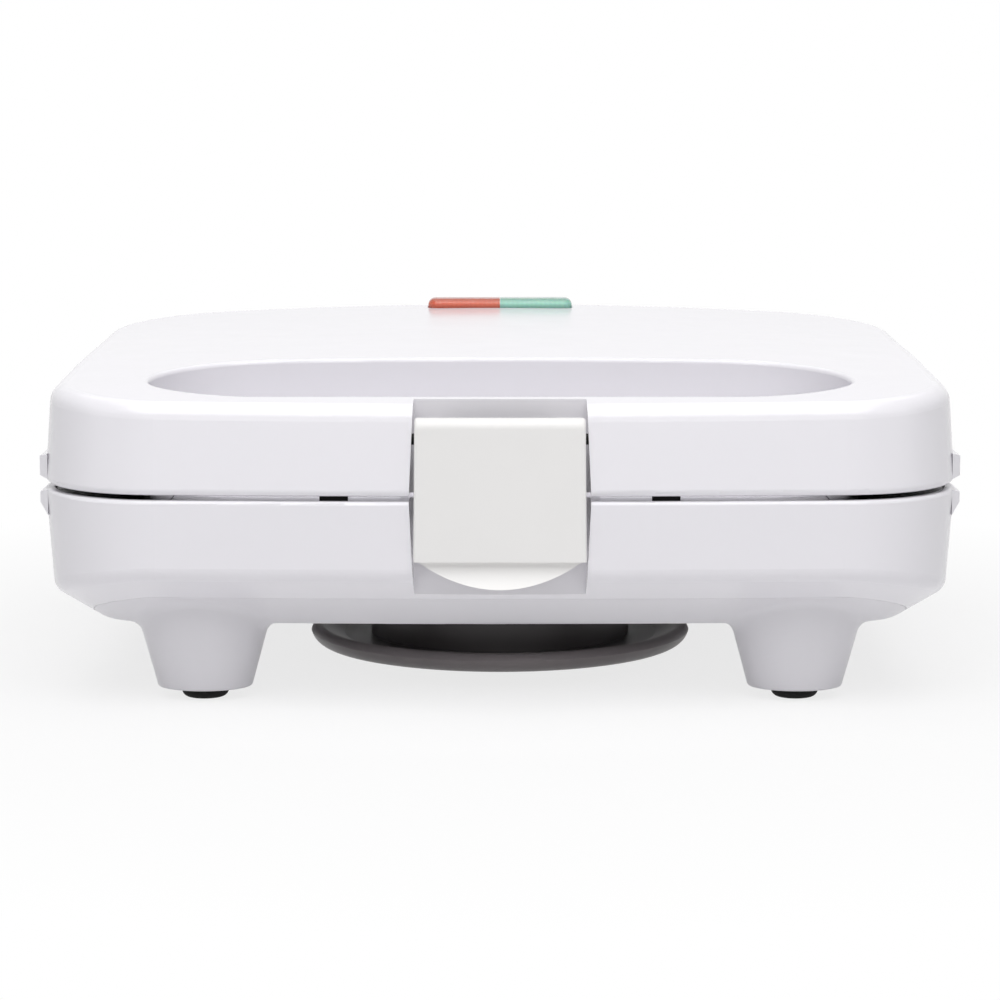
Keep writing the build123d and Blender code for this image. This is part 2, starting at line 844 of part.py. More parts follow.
def pocket_triangle(sign, near_middle):
    """One half of a pocket at the plate's face, as seen from above"""
    x0 = middle_rib / 2
    x1 = plate_width / 2 - plate_margin - pocket_edge
    y0 = plate_y - plate_length / 2 + plate_margin + pocket_edge
    y1 = plate_y + plate_length / 2 - plate_margin - pocket_edge
    shift = rib_width / 2 * 1.414
    if near_middle:
        points = [(x0, y0 + shift), (x0, y1), (x1 - shift, y1)]
    else:
        points = [(x0 + shift, y0), (x1, y0), (x1, y1 - shift)]
    points = [(sign * x, y) for x, y in points]
    face = make_face(Polyline(*points, points[0]))
    return fillet(face.vertices(), pocket_corner_r)


def make_lower_plate():
    """Cast lower plate: flange, tub, four triangular pockets, and posts for its screws"""
    flange = Pos(0, plate_y) * RectangleRounded(plate_width, plate_length, plate_corner_r)
    plate = prism(flange, cover_top_z, plate_low_rim)
    tub = Pos(0, 0, cover_top_z + 0.2) * plate_opening()
    plate += extrude(tub, amount=cover_top_z + 0.2 - plate_bottom_z, dir=(0, 0, -1), taper=draft)
    for sign in (-1, 1):
        for near_middle in (True, False):
            face = Pos(0, 0, plate_low_rim) * pocket_triangle(sign, near_middle)
            plate -= extrude(face, amount=pocket_depth, dir=(0, 0, -1), taper=pocket_draft)
    posts_top = plate_bottom_z + 1
    posts_low = shield_floor_z + sheet + 0.05
    for x, y in post_places():
        plate += rod(x, y, posts_low, posts_top, post_r)
        plate -= rod(x, y, posts_low - 1, posts_top - plate_screw_in, screw_d / 2 + screw_fit)
    return plate


def post_places():
    """Where the four posts stand on the back of a plate"""
    return [(sx * post_x, plate_y + sy * post_dy) for sy in (-1, 1) for sx in (-1, 1)]


def make_lower_heater():
    """Bent tubular element against the back of the lower plate, with its two cold pins"""
    front = plate_y - plate_length / 2 + heater_front_in
    back = plate_y + plate_length / 2 - heater_back_in
    end = plate_y + heater_end
    points = [
        (-heater_end_x, end),
        (-heater_end_x, back),
        (-heater_half_x, back),
        (-heater_half_x, front),
        (heater_half_x, front),
        (heater_half_x, back),
        (heater_end_x, back),
        (heater_end_x, end),
    ]
    heater = tube([(x, y, heater_z) for x, y in points], heater_bend_r, heater_d / 2)
    pins = both_sides(lambda s: rod_y(s * heater_end_x, end - heater_pin, end + 1, heater_z, heater_pin_r))
    return heater + pins


def heater_clamp(along_x, x, y):
    """A saddle that presses the element to the plate"""
    long, short = clamp_size
    low = heater_z - heater_d / 2 - clamp_wall
    top = plate_bottom_z - 0.02
    width, depth = (short, long) if along_x else (long, short)
    block = box(x - width / 2, x + width / 2, y - depth / 2, y + depth / 2, low, top)
    radius = heater_d / 2 + heater_gap
    if along_x:
        groove = rod_x(x - width, x + width, y, heater_z, radius)
        return block - groove - box(x - width, x + width, y - radius, y + radius, heater_z, top + 1)
    groove = rod_y(x, y - depth, y + depth, heater_z, radius)
    return block - groove - box(x - radius, x + radius, y - depth, y + depth, heater_z, top + 1)


def make_lower_heater_clamps():
    """Four saddles, two across the front run and one on each side run"""
    front = plate_y - plate_length / 2 + heater_front_in
    clamps = [heater_clamp(True, s * clamp_x, front) for s in (-1, 1)]
    clamps += [heater_clamp(False, s * heater_half_x, plate_y) for s in (-1, 1)]
    return clamps


def make_heat_shield(thermostat_hole):
    """Sheet tray behind a plate, with its rim against the inner cover"""
    rim_top = cover_low_z - 0.05
    outer = plate_opening(shield_gap + sheet)
    inner = plate_opening(shield_gap)
    tray = prism(outer, shield_floor_z, rim_top) - prism(inner, shield_floor_z + sheet, rim_top + 1)
    rim = plate_opening(shield_gap + sheet + shield_rim)
    tray += prism(rim, rim_top - sheet, rim_top) - prism(inner, rim_top - 3, rim_top + 1)
    for x, y in post_places():
        tray -= rod(x, y, shield_floor_z - 1, shield_floor_z + 2, screw_d / 2 + screw_fit)
    for sign in (-1, 1):
        x = sign * heater_end_x
        tray -= rod(x, lead_drop_y, shield_floor_z - 1, shield_floor_z + 2, lead_hole_r)
    if thermostat_hole:
        tray -= rod(0, plate_y, shield_floor_z - 1, shield_floor_z + 2, thermostat_r + 1)
    return tray


def make_thermostat():
    """Snap-disc thermostat against the plate's back, with two tabs"""
    top = plate_bottom_z - 0.05
    low = shield_floor_z - thermostat_out
    body = rod(0, plate_y, top - thermostat_h, top, thermostat_r)
    body += rod(0, plate_y, low, top - thermostat_h + 1, thermostat_r - thermostat_cap_in)
    half, thick, long = tab_size[0] / 2, tab_size[1] / 2, tab_size[2]
    for x in (-tab_x, tab_x):
        body += box(x - half, x + half, plate_y - thick, plate_y + thick, low - long, low + 1)
    return body


def make_thermostat_bracket():
    """Strap that holds the thermostat's cap to the plate"""
    top = plate_bottom_z - 0.05
    low = top - strap_under
    half = heater_end_x - heater_d / 2 - 2 * heater_gap
    y0, y1 = plate_y - thermostat_r - 1, plate_y + thermostat_r + 1
    strap = box(-half, half, y0, y1, low, low + strap_thick)
    strap += both_sides(lambda s: box(*sorted((s * half, s * (half - strap_leg))), y0, y1, low, top))
    return strap - rod(0, plate_y, low - 1, low + 2, thermostat_r - thermostat_cap_in + join)


def make_thermal_fuse():
    """Thermal fuse in its clip under the lower heat shield"""
    z = shield_floor_z - fuse_r - fuse_gap
    x0, x1 = fuse_x
    fuse = rod_x(x0, x1, fuse_y, z, fuse_r)
    half = fuse_r + clip_wall
    clip_x = (x0 + clip_end, x1 - clip_end)
    clip = box(*clip_x, fuse_y - half, fuse_y + half, z - fuse_r - 0.6, shield_floor_z - 0.02)
    bore_r = fuse_r + join
    clip -= rod_x(x0, x1, fuse_y, z, bore_r)
    clip -= box(x0, x1, fuse_y - bore_r, fuse_y + bore_r, z - fuse_r - 2, z - 0.8)
    return [fuse] + clip.solids()


def make_terminal_block():
    """Mains terminal block on the bottom cover, with wire holes and screw wells"""
    x0, x1, y0, y1 = terminal_block_plan
    low = inner_floor_z + 0.05
    block = box(x0, x1, y0, y1, low, low + terminal_block_h)
    pitch = (x1 - x0) / 3
    for i in range(3):
        x = x0 + pitch * (i + 0.5)
        half, mouth_low, mouth_high = terminal_mouth
        block -= rod(x, (y0 + y1) / 2, low + mouth_high - 1, low + terminal_block_h + 1, terminal_well_r)
        block -= box(x - half, x + half, y1 - 4, y1 + 1, low + mouth_low, low + mouth_high)
    for x in (x0 + pitch, x0 + 2 * pitch):
        slit = (x - terminal_slit, x + terminal_slit)
        block -= box(*slit, y0 - 1, y1 + 1, low + mouth_high, low + terminal_block_h + 1)
    return block


def make_base_wiring():
    """Leads between the terminal block, heater, thermostat and fuse, and the sleeve to the lid"""
    z = wire_z
    x0, _, y0, y1 = terminal_block_plan
    side = heater_end_x
    drop = heater_z - 1.4
    bend = wire_bend_r
    right = tube([(side, lead_drop_y, drop), (side, lead_drop_y, z), (side, y0 - join, z)], bend, wire_r)
    left_y = y0 + 3
    left = tube(
        [(-side, lead_drop_y, drop), (-side, lead_drop_y, z), (-side, left_y, z), (x0 - join, left_y, z)],
        bend,
        wire_r,
    )
    tab_y = plate_y + 0.5
    direct = tube([(tab_x, tab_y, z), (tab_x, y0 - join, z)], 0, wire_r)
    fuse_z = shield_floor_z - fuse_r - fuse_gap
    fuse_lead = tube(
        [(fuse_x[1] + join, fuse_y, fuse_z), (-tab_x, fuse_y, fuse_z - 1.6), (-tab_x, tab_y, z)],
        bend,
        wire_r * 0.8,
    )
    wall_x = -(lead_barrel_l + lead_side)
    inside = [
        (x0 - join, y1 - 3, z),
        (wall_x, y1 - 3, z),
        (wall_x, lead_rise_y - lead_run, z),
        (wall_x, lead_rise_y, z + 4.3),
    ]
    sleeve = tube(inside + lead_path(-1), lead_bend_r, sleeve_r)
    return [right, left, direct, fuse_lead, sleeve]


def make_lid_wiring():
    """Leads to the upper heater and the lamps, and the sleeve from the base"""
    z = lid_wire_z
    side = heater_end_x
    drop = mirror_z(heater_z - 1.4)
    wall_x = lead_barrel_l + lead_side
    inside = [
        (side, lead_drop_y, drop),
        (side, lead_drop_y, z),
        (wall_x, lead_drop_y, z),
        (wall_x, lead_rise_y - 0.8, z),
    ]
    path = inside + lead_path(1)
    sleeve = tube(path, lead_bend_r * 0.75, sleeve_r)
    front = lens_y - lamp_holder_d / 2 - join
    z = lamp_holder_z + lamp_holder_h / 2
    lamp_path = [(-side, lead_drop_y, drop), (-side, lead_drop_y, z), (-side, front, z)]
    lamp_lead = tube(lamp_path, wire_bend_r, wire_r)
    return [sleeve, lamp_lead]


def make_lens(sign):
    """One half of the indicator window, with a flange under the lid's top"""
    x = sign * lens_width / 2
    half = Pos(x, lens_y) * Rectangle(lens_width - lens_gap, lens_depth + 1)
    whole = Pos(0, lens_y) * RectangleRounded(2 * lens_width, lens_depth, lens_corner_r)
    lens = prism(whole, lens_flange_z, lens_top_z)
    lens = fillet(lens.edges().group_by(Axis.Z)[-1], lens_top_r) & prism(half, lens_flange_z, lens_top_z)
    flange = Pos(x + sign, lens_y) * Rectangle(lens_width + 2 - lens_gap, lens_depth + 2 * lens_flange_out)
    return lens + prism(flange, lens_flange_z, lens_flange_z + lens_flange)


def make_lamp(sign):
    """Neon lamp lying under one lens"""
    x = sign * lens_width / 2
    z = lamp_holder_z + lamp_holder_h / 2 + 0.2
    return rod_x(x - lamp_length / 2, x + lamp_length / 2, lens_y, z, lamp_r)


def make_lamp_holder():
    """Plate under the lenses with a slot for each lamp"""
    half = lamp_screw_x + 4
    z = lamp_holder_z
    holder = box(-half, half, lens_y - lamp_holder_d / 2, lens_y + lamp_holder_d / 2, z, z + lamp_holder_h)
    for sign in (-1, 1):
        x = sign * lens_width / 2
        reach = lamp_length / 2 + 0.2
        holder -= box(x - reach, x + reach, lens_y - lamp_r - 0.1, lens_y + lamp_r + 0.1, z - 1, z + 5)
        holder -= rod(sign * lamp_screw_x, lens_y, z - 1, z + 5, screw_d / 2 + screw_fit)
    return holder


def latch_outline():
    """The latch from the front: a tapered plate with a round lip below"""
    top, low = latch_top_z, latch_face_low_z
    tip = latch_lip_low_z
    half_top, half_low, half_lip = latch_half_top, latch_half_low, latch_lip_half
    left = Polyline((-half_lip, low), (-half_low, low), (-half_top, top), (half_top, top))
    right = Polyline((half_top, top), (half_low, low), (half_lip, low))
    lip = ThreePointArc((-half_lip, low), (0, tip), (half_lip, low))
    return make_face(left + right + lip)


def latch_side():
    """The latch from the side: flat face, round top, hollowed and flared lip"""
    top, low = latch_top_z, latch_face_low_z
    front, back = latch_front_y, latch_front_y + latch_thick
    tip = latch_lip_low_z - 1
    round_r = latch_round
    face_line = Line((front, low), (front, top - round_r))
    crown = ThreePointArc(
        (front, top - round_r), (front + round_r * 0.293, top - round_r * 0.293), (front + round_r, top)
    )
    down = Polyline((front + round_r, top), (back, top), (back, low))
    lip_front = front - latch_lip_out
    lip_back = lip_front + latch_lip_t
    middle = (low + tip) / 2
    inner = ThreePointArc((back, low), (back - 0.9, middle), (lip_back, tip))
    end = Line((lip_back, tip), (lip_front, tip))
    hollow_y = front + latch_hollow
    hollow = ThreePointArc((lip_front, tip), (front + latch_hollow / 2, middle), (hollow_y, low))
    close = Line((hollow_y, low), (front, low))
    return make_face(face_line + crown + down + inner + end + hollow + close)


def make_latch():
    """Hinged latch: face plate with its lip, two cheeks on the pin, and the hook"""
    face = extrude(Plane.XZ.offset(-20) * latch_outline(), amount=40)
    side = extrude(Plane.YZ.offset(-30) * latch_side(), amount=60)
    latch = face & side
    latch = fillet([e for e in latch.edges() if long_side(e)], latch_edge_r)
    back = latch_front_y + latch_thick - 0.3
    hook_top = hook_ledge_z - hook_gap
    hook_y = notch_depth - hook_ledge_out + hook_overlap
    hook_low = hook_top - hook_h
    cheek = boss_r + cheek_fit
    for sign in (-1, 1):
        x0, x1 = sorted((sign * latch_cheek_x, sign * (latch_cheek_x + latch_cheek_w)))
        latch += rod_x(x0, x1, latch_pin_y, latch_pin_z, cheek)
        latch += box(x0, x1, back, latch_pin_y, latch_pin_z - cheek, latch_pin_z + cheek)
        latch += box(x0, x1, back, back + hook_web, hook_low, latch_pin_z)
    latch += box(-latch_cheek_x, latch_cheek_x, back, hook_y, hook_low, hook_top)
    return latch - latch_pin_hole(latch_pin_d / 2 + pin_fit)


def long_side(edge):
    """The latch's two long front edges"""
    size = edge.bounding_box().size
    return size.Z > 20 and abs(edge.center().Y - latch_front_y) < 0.1


def make_hinge_pin(sign):
    """Hinge pin with chamfered ends"""
    reach = hinge_lid_w / 2 + hinge_gap + hinge_base_w
    pin = rod_x(sign * hinge_x - reach, sign * hinge_x + reach, axis_y, parting_z, hinge_pin_d / 2)
    return chamfer(pin.edges().filter_by(GeomType.CIRCLE), hinge_pin_edge)


def make_cord_gland():
    """Grommet in the back wall, with its bore for the cord"""
    y_out = body_depth + gland_out
    y_in = y_out - gland_length
    gland = rod_y(gland_x, y_in, y_out, gland_z, gland_hole_r - gland_fit)
    gland += rod_y(gland_x, body_depth - 0.3, body_depth + 2, gland_z, gland_hole_r + gland_rim)
    y_flange = body_depth - wall - gland_flange_in
    gland += rod_y(gland_x, y_flange - gland_flange, y_flange, gland_z, gland_hole_r + 2.0)
    gland -= rod_y(gland_x, y_in - 1, y_out - gland_grip, gland_z, gland_bore_r + gland_relief)
    return gland - rod_y(gland_x, y_in - 1, y_out + 1, gland_z, gland_bore_r)


def make_stop_pads():
    """Two rubber stops on the base's deck that carry the lid's front"""
    top = mirror_z(cover_top_z) - stop_clear
    pads = []
    for sign in (-1, 1):
        x = sign * stop_x
        w, d = stop_size
        pads.append(box(x - w / 2, x + w / 2, stop_y - d / 2, stop_y + d / 2, cover_top_z, top))
    return pads


def screw_groups():
    """Every group of like screws, by the name of its node"""
    plate = [screw(x, y, shield_floor_z, plate_bottom_z - plate_screw_in) for x, y in post_places()]
    lid_head = mirror_z(cover_top_z - screw_head_h - head_under)
    low = mirror_z(cover_low_z - cover_pad_h - join)
    places = [(s * side_boss_x, y) for s in (-1, 1) for y in side_boss_y]
    bar = [(s * bar_boss_x, bar_boss_y) for s in (-1, 1)]
    return {
        "lower_plate_screws": plate,
        "upper_plate_screws": [mirrored(s) for s in plate],
        "base_inner_cover_screws": [screw(x, y, shelf_z, cover_low_z - 1) for x, y in places],
        "lid_inner_cover_screws": [screw(x, y, lid_head, low + screw_bite - 1) for x, y in places + bar],
        "bottom_cover_screws": [
            screw(x, y, floor_head_z, floor_boss_top(y) - 3) for x, y in floor_screw_places()
        ],
        "cord_wrap_screws": [
            screw(x, y, wrap_head_z, inner_floor_z + wrap_boss_h - 0.5) for x, y in wrap_screw_places()
        ],
        "lamp_holder_screws": [
            screw(s * lamp_screw_x, lens_y, lamp_holder_z, lamp_holder_z + lamp_holder_h + 3) for s in (-1, 1)
        ],
    }


def all_parts():
    """Every node's name with its solids, in the order of assembly"""
    clamps = make_lower_heater_clamps()
    heater = make_lower_heater()
    plate = make_lower_plate()
    parts = {
        "base_shell": make_base_shell(),
        "bottom_cover": make_bottom_cover(),
        "base_inner_cover": make_base_inner_cover(),
        "lower_plate": plate,
        "lower_heater": heater,
        "lower_heater_clamps": clamps,
        "lower_heat_shield": make_heat_shield(True),
        "thermostat": make_thermostat(),
        "thermostat_bracket": make_thermostat_bracket(),
        "thermal_fuse": make_thermal_fuse(),
        "terminal_block": make_terminal_block(),
        "base_wiring": make_base_wiring(),
        "cord_gland": make_cord_gland(),
        "cord_wrap": make_cord_wrap(),
        "stop_pads": make_stop_pads(),
        "lid_shell": make_lid_shell(),
        "lid_inner_cover": make_lid_inner_cover(),
        "upper_plate": mirrored(plate),
        "upper_heater": mirrored(heater),
        "upper_heater_clamps": [mirrored(c) for c in clamps],
        "upper_heat_shield": mirrored(make_heat_shield(False)),
        "lid_wiring": make_lid_wiring(),
        "red_lens": make_lens(-1),
        "green_lens": make_lens(1),
        "red_lamp": make_lamp(-1),
        "green_lamp": make_lamp(1),
        "lamp_holder": make_lamp_holder(),
        "latch": make_latch(),
        "latch_pin": latch_pin_hole(latch_pin_d / 2),
        "left_hinge_pin": make_hinge_pin(-1),
        "right_hinge_pin": make_hinge_pin(1),
    }
    names = ["front_left", "front_right", "rear_left", "rear_right"]
    for name, (x, y) in zip(names, foot_places()):
        parts[name + "_foot_pad"] = make_foot_pad(x, y)
    parts.update(screw_groups())
    return parts


def solids_of(shape):
    """The separate solids of one node"""
    pieces = shape if isinstance(shape, list) else [shape]
    return [s for piece in pieces for s in piece.solids()]


def write(name, solids, back):
    """Write one node's solids, moved forward by the distance to the middle of the whole"""
    moved = [Pos(0, -back, 0) * s for s in solids]
    whole = moved[0] if len(moved) == 1 else Compound(children=moved)
    export_step(whole, "parts/" + name + ".step")


os.makedirs("parts", exist_ok=True)
nodes = {name: solids_of(shape) for name, shape in all_parts().items()}
boxes = [s.bounding_box() for solids in nodes.values() for s in solids]
centre_y = (min(b.min.Y for b in boxes) + max(b.max.Y for b in boxes)) / 2
for name, solids in nodes.items():
    write(name, solids, centre_y)
print("nodes", len(nodes), "middle of the whole lies", round(centre_y, 3), "mm behind the front face")
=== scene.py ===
from math import cos, pi, radians, sin, tau

import bmesh
import bpy
from bpy.props import FloatProperty, FloatVectorProperty, PointerProperty
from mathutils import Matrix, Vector


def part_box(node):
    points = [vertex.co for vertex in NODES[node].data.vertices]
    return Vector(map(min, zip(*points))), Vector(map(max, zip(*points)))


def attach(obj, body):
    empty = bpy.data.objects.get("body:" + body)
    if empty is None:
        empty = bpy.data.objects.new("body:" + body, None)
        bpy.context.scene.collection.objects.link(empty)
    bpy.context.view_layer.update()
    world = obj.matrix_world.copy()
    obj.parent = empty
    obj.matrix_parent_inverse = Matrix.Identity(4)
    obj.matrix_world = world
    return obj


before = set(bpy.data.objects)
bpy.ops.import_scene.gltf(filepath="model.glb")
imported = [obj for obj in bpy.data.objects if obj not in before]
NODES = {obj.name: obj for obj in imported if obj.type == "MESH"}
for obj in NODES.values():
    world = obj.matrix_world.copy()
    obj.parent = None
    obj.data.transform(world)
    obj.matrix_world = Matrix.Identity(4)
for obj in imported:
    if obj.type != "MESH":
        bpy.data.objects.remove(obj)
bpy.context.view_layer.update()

bl_info = {
    "name": "Sandwich Maker",
    "version": (1, 0, 0),
    "blender": (4, 5, 0),
    "location": "View3D > Sidebar > Sandwich Maker",
    "description": "Finishes and small pieces of a white countertop sandwich maker, and its studio",
    "category": "Object",
}

# Places and sizes are in metres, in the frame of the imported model. Its origin is the middle of
# the object's depth, which the CAD source puts this far behind the front face.
CENTRE_Y = 0.10527


# Shader maths

def maths(operation, swapped=False):
    """Makes a method that adds one Math node to the wire's own board"""
    def method(self, other=0.0):
        pair = (other, self) if swapped else (self, other)
        return self.board.node("ShaderNodeMath", {"operation": operation}, {0: pair[0], 1: pair[1]})
    return method


class Wire:
    """One node socket that can be added, multiplied and so on like a number"""

    def __init__(self, board, socket):
        self.board = board
        self.socket = socket

    __add__ = maths("ADD")
    __radd__ = maths("ADD", swapped=True)
    __sub__ = maths("SUBTRACT")
    __rsub__ = maths("SUBTRACT", swapped=True)
    __mul__ = maths("MULTIPLY")
    __rmul__ = maths("MULTIPLY", swapped=True)
    __truediv__ = maths("DIVIDE")
    __rtruediv__ = maths("DIVIDE", swapped=True)
    __pow__ = maths("POWER")
    __rpow__ = maths("POWER", swapped=True)
    __gt__ = maths("GREATER_THAN")
    __lt__ = maths("LESS_THAN")
    at_least = maths("MAXIMUM")
    at_most = maths("MINIMUM")
    absolute = maths("ABSOLUTE")
    sine = maths("SINE")

    def climb(self, start, width):
        """0 up to start, then climbing to 1 over a width"""
        return ((self - start) / width).at_least(0.0).at_most(1.0)

    def stripes(self, turn):
        """Soft stripes between 0 and 1, with turn radians of a wave to the metre"""
        return (self * turn).sine() * 0.5 + 0.5


def distance(across, along):
    """How far a point lies from the place where both of its wires are 0"""
    return (across * across + along * along) ** 0.5


class Board:
    """The node tree of one new material, or of a new world"""

    def __init__(self, name, kind="materials"):
        self.owner = getattr(bpy.data, kind).new(name)
        self.owner.use_nodes = True
        self.tree = self.owner.node_tree
        self.tree.nodes.clear()

    def node(self, kind, setup=None, sockets=None, out=0):
        """Adds a node, sets it up, fills its sockets and returns one output"""
        made = self.tree.nodes.new(kind)
        for key, value in (setup or {}).items():
            if key == "stops":
                self.ramp_stops(made.color_ramp, value)
            else:
                setattr(made, key, value)
        for key, value in (sockets or {}).items():
            if isinstance(value, Wire):
                self.tree.links.new(value.socket, made.inputs[key])
            else:
                made.inputs[key].default_value = value
        return Wire(self, made.outputs[out]) if made.outputs else None

    @staticmethod
    def ramp_stops(ramp, stops):
        """Gives a colour ramp its (place, colour) stops"""
        while len(ramp.elements) < len(stops):
            ramp.elements.new(0.5)
        for element, (place, colour) in zip(ramp.elements, stops):
            element.position = place
            element.color = colour

    def place(self, stretch=(1.0, 1.0, 1.0)):
        """Object coordinates, which are the frame's metres, times a stretch along each axis"""
        place = self.node("ShaderNodeTexCoord", out=3)
        return self.node("ShaderNodeMapping", None, {"Vector": place, "Scale": stretch})

    def axes(self):
        """The three object coordinates as separate numbers"""
        split = self.node("ShaderNodeSeparateXYZ", None, {0: self.place()})
        outputs = split.socket.node.outputs
        return [Wire(self, outputs[i]) for i in range(3)]

    def noise(self, scale, detail=2.0, stretch=(1.0, 1.0, 1.0)):
        """Smooth random pattern between 0 and 1, with scale in lumps per metre"""
        sockets = {"Vector": self.place(stretch), "Scale": scale, "Detail": detail}
        return self.node("ShaderNodeTexNoise", None, sockets)

    def specks(self, scale, level, strength):
        """Sparse specks, where a fine noise passes a level"""
        return (self.noise(scale, detail=1.0) > level) * strength

    def cells(self, scale):
        """Distance to the nearest cell's centre, with scale in cells per metre"""
        return self.node("ShaderNodeTexVoronoi", None, {"Vector": self.place(), "Scale": scale})

    def blend(self, factor, first, second):
        """One colour fading into another"""
        return self.node("ShaderNodeMix", {"data_type": "RGBA"}, {0: factor, 6: first, 7: second}, out=2)

    def bump(self, height, strength, depth):
        """A bump from a height pattern, for the Normal socket, with its depth in metres"""
        sockets = {"Height": height, "Strength": strength, "Distance": depth}
        return self.node("ShaderNodeBump", None, sockets)

    def outright(self):
        """1 for rays that come straight from the camera, a reflection or clear material, else 0"""
        outputs = self.node("ShaderNodeLightPath").socket.node.outputs
        camera, glossy, clear = (
            Wire(self, outputs[name + " Ray"]) for name in ("Is Camera", "Is Glossy", "Is Transmission")
        )
        return (camera + glossy + clear).at_most(1.0)

    def surface(self, sockets):
        """Finishes the material with one principled shader"""
        shader = self.node("ShaderNodeBsdfPrincipled", None, sockets)
        self.node("ShaderNodeOutputMaterial", None, {"Surface": shader})
        return self.owner


def shade(colour, factor):
    """A colour made lighter or darker"""
    return [min(1.0, c * factor) for c in colour[:3]] + [1.0]


def settings():
    """The sizes and colours that a user can change"""
    return bpy.context.scene.sandwich_maker


# Finishes

def moulded_gloss(name, colour, roughness, peel):
    """Polished moulded plastic: faint flow marks, orange peel, and a little handling haze"""
    board = Board(name)
    flow = board.noise(9.0, detail=3.0, stretch=(1.0, 0.45, 2.2))
    haze = board.noise(38.0, detail=5.0)
    tone = board.blend(flow, shade(colour, 0.985), shade(colour, 1.01))
    tone = board.blend(board.specks(2600.0, level=0.71, strength=0.10), tone, shade(colour, 0.93))
    skin = board.noise(210.0, detail=1.0) * 0.7 + board.noise(900.0) * 0.12
    return board.surface({
        "Base Color": tone,
        "Roughness": roughness + (haze - 0.5) * 0.10,
        "Normal": board.bump(skin, strength=peel, depth=0.0004),
        "IOR": 1.5,
        "Specular IOR Level": 0.5,
    })


def satin_plastic(name, colour, roughness, grain):
    """Fine-grained moulded plastic with soft sheen and slightly polished patches"""
    board = Board(name)
    patches = board.noise(26.0, detail=4.0)
    return board.surface({
        "Base Color": board.blend(patches, shade(colour, 0.97), shade(colour, 1.02)),
        "Roughness": roughness + (patches - 0.5) * 0.14,
        "Normal": board.bump(board.noise(2400.0), strength=grain, depth=0.00006),
        "IOR": 1.48,
    })


def cover_black(name):
    """Glossy black phenolic with fine swirl marks from wiping, and dust"""
    board = Board(name)
    black = [0.012, 0.012, 0.013, 1.0]
    dusty = [0.05, 0.05, 0.05, 1.0]
    swirl = board.noise(60.0, detail=6.0, stretch=(1.0, 3.0, 1.0))
    return board.surface({
        "Base Color": board.blend(board.specks(3000.0, level=0.72, strength=0.5), black, dusty),
        "Roughness": 0.14 + swirl * 0.16,
        "Normal": board.bump(board.noise(240.0, detail=1.0), strength=0.05, depth=0.0003),
        "IOR": 1.52,
    })


def non_stick(name):
    """Sprayed non-stick coating on cast metal: grey flecks and a pebbled skin"""
    board = Board(name)
    coating = [0.016, 0.016, 0.017, 1.0]
    worn = [0.030, 0.030, 0.031, 1.0]
    fleck = [0.17, 0.17, 0.175, 1.0]
    flecks = board.cells(1500.0) < 0.17
    pebble = board.noise(1100.0, detail=3.0) * 0.8 + board.noise(140.0, detail=1.0) * 0.5
    rubbed = board.noise(24.0, detail=5.0)
    tone = board.blend(flecks * 0.55, board.blend(rubbed, coating, worn), fleck)
    return board.surface({
        "Base Color": tone,
        "Roughness": 0.33 + rubbed * 0.16,
        "Normal": board.bump(pebble, strength=0.35, depth=0.00012),
        "IOR": 1.4,
    })


HEAT_TINTS = [
    (0.30, (0.10, 0.105, 0.09, 1.0)),
    (0.50, (0.20, 0.17, 0.11, 1.0)),
    (0.62, (0.12, 0.12, 0.15, 1.0)),
    (0.78, (0.17, 0.175, 0.16, 1.0)),
]


def heater_sheath(name):
    """Annealed steel sheath, dull green-grey with straw and blue heat tints"""
    board = Board(name)
    tint = board.node("ShaderNodeValToRGB", {"stops": HEAT_TINTS}, {0: board.noise(22.0, detail=3.0)})
    scale = board.noise(900.0, detail=4.0)
    return board.surface({
        "Base Color": tint,
        "Metallic": 0.75,
        "Roughness": 0.42 + scale * 0.25,
        "Normal": board.bump(scale, strength=0.25, depth=0.0001),
    })


def rolled_sheet(name, colour, roughness):
    """Rolled metal sheet: rolling lines, a faint spangle and dull spots"""
    board = Board(name)
    lines = board.noise(900.0, detail=3.0, stretch=(1.0, 0.02, 1.0))
    return board.surface({
        "Base Color": board.blend(board.cells(120.0), shade(colour, 0.86), shade(colour, 1.04)),
        "Metallic": 1.0,
        "Roughness": roughness + lines * 0.18,
        "Normal": board.bump(lines, strength=0.12, depth=0.00005),
    })


CAP_HEIGHT = 0.0041      # of the thermostat's steel cap


def thermostat_finish(name):
    """Plated steel cap against the plate and a brown phenolic body below it"""
    board = Board(name)
    steel = [0.62, 0.61, 0.58, 1.0]
    phenolic = [0.16, 0.085, 0.045, 1.0]
    pale_phenolic = [0.23, 0.13, 0.075, 1.0]
    _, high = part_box("thermostat")
    _, _, z = board.axes()
    cap = z > high.z - CAP_HEIGHT
    mottle = board.noise(800.0, detail=3.0)
    return board.surface({
        "Base Color": board.blend(cap, board.blend(mottle, phenolic, pale_phenolic), steel),
        "Metallic": cap,
        "Roughness": 0.45 - cap * 0.15 + (mottle - 0.5) * 0.1,
        "Normal": board.bump(mottle, strength=0.15, depth=0.0001),
    })


def porcelain(name):
    """Glazed porcelain with faint clouds of tone"""
    board = Board(name)
    cream = [0.80, 0.77, 0.69, 1.0]
    pale_cream = [0.88, 0.86, 0.80, 1.0]
    cloud = board.noise(170.0, detail=4.0)
    return board.surface({
        "Base Color": board.blend(cloud, cream, pale_cream),
        "Roughness": 0.22 + cloud * 0.2,
        "Normal": board.bump(board.noise(500.0), strength=0.15, depth=0.0001),
    })


STRAND_TURN = 2600.0     # radians of a strand's wave to the metre


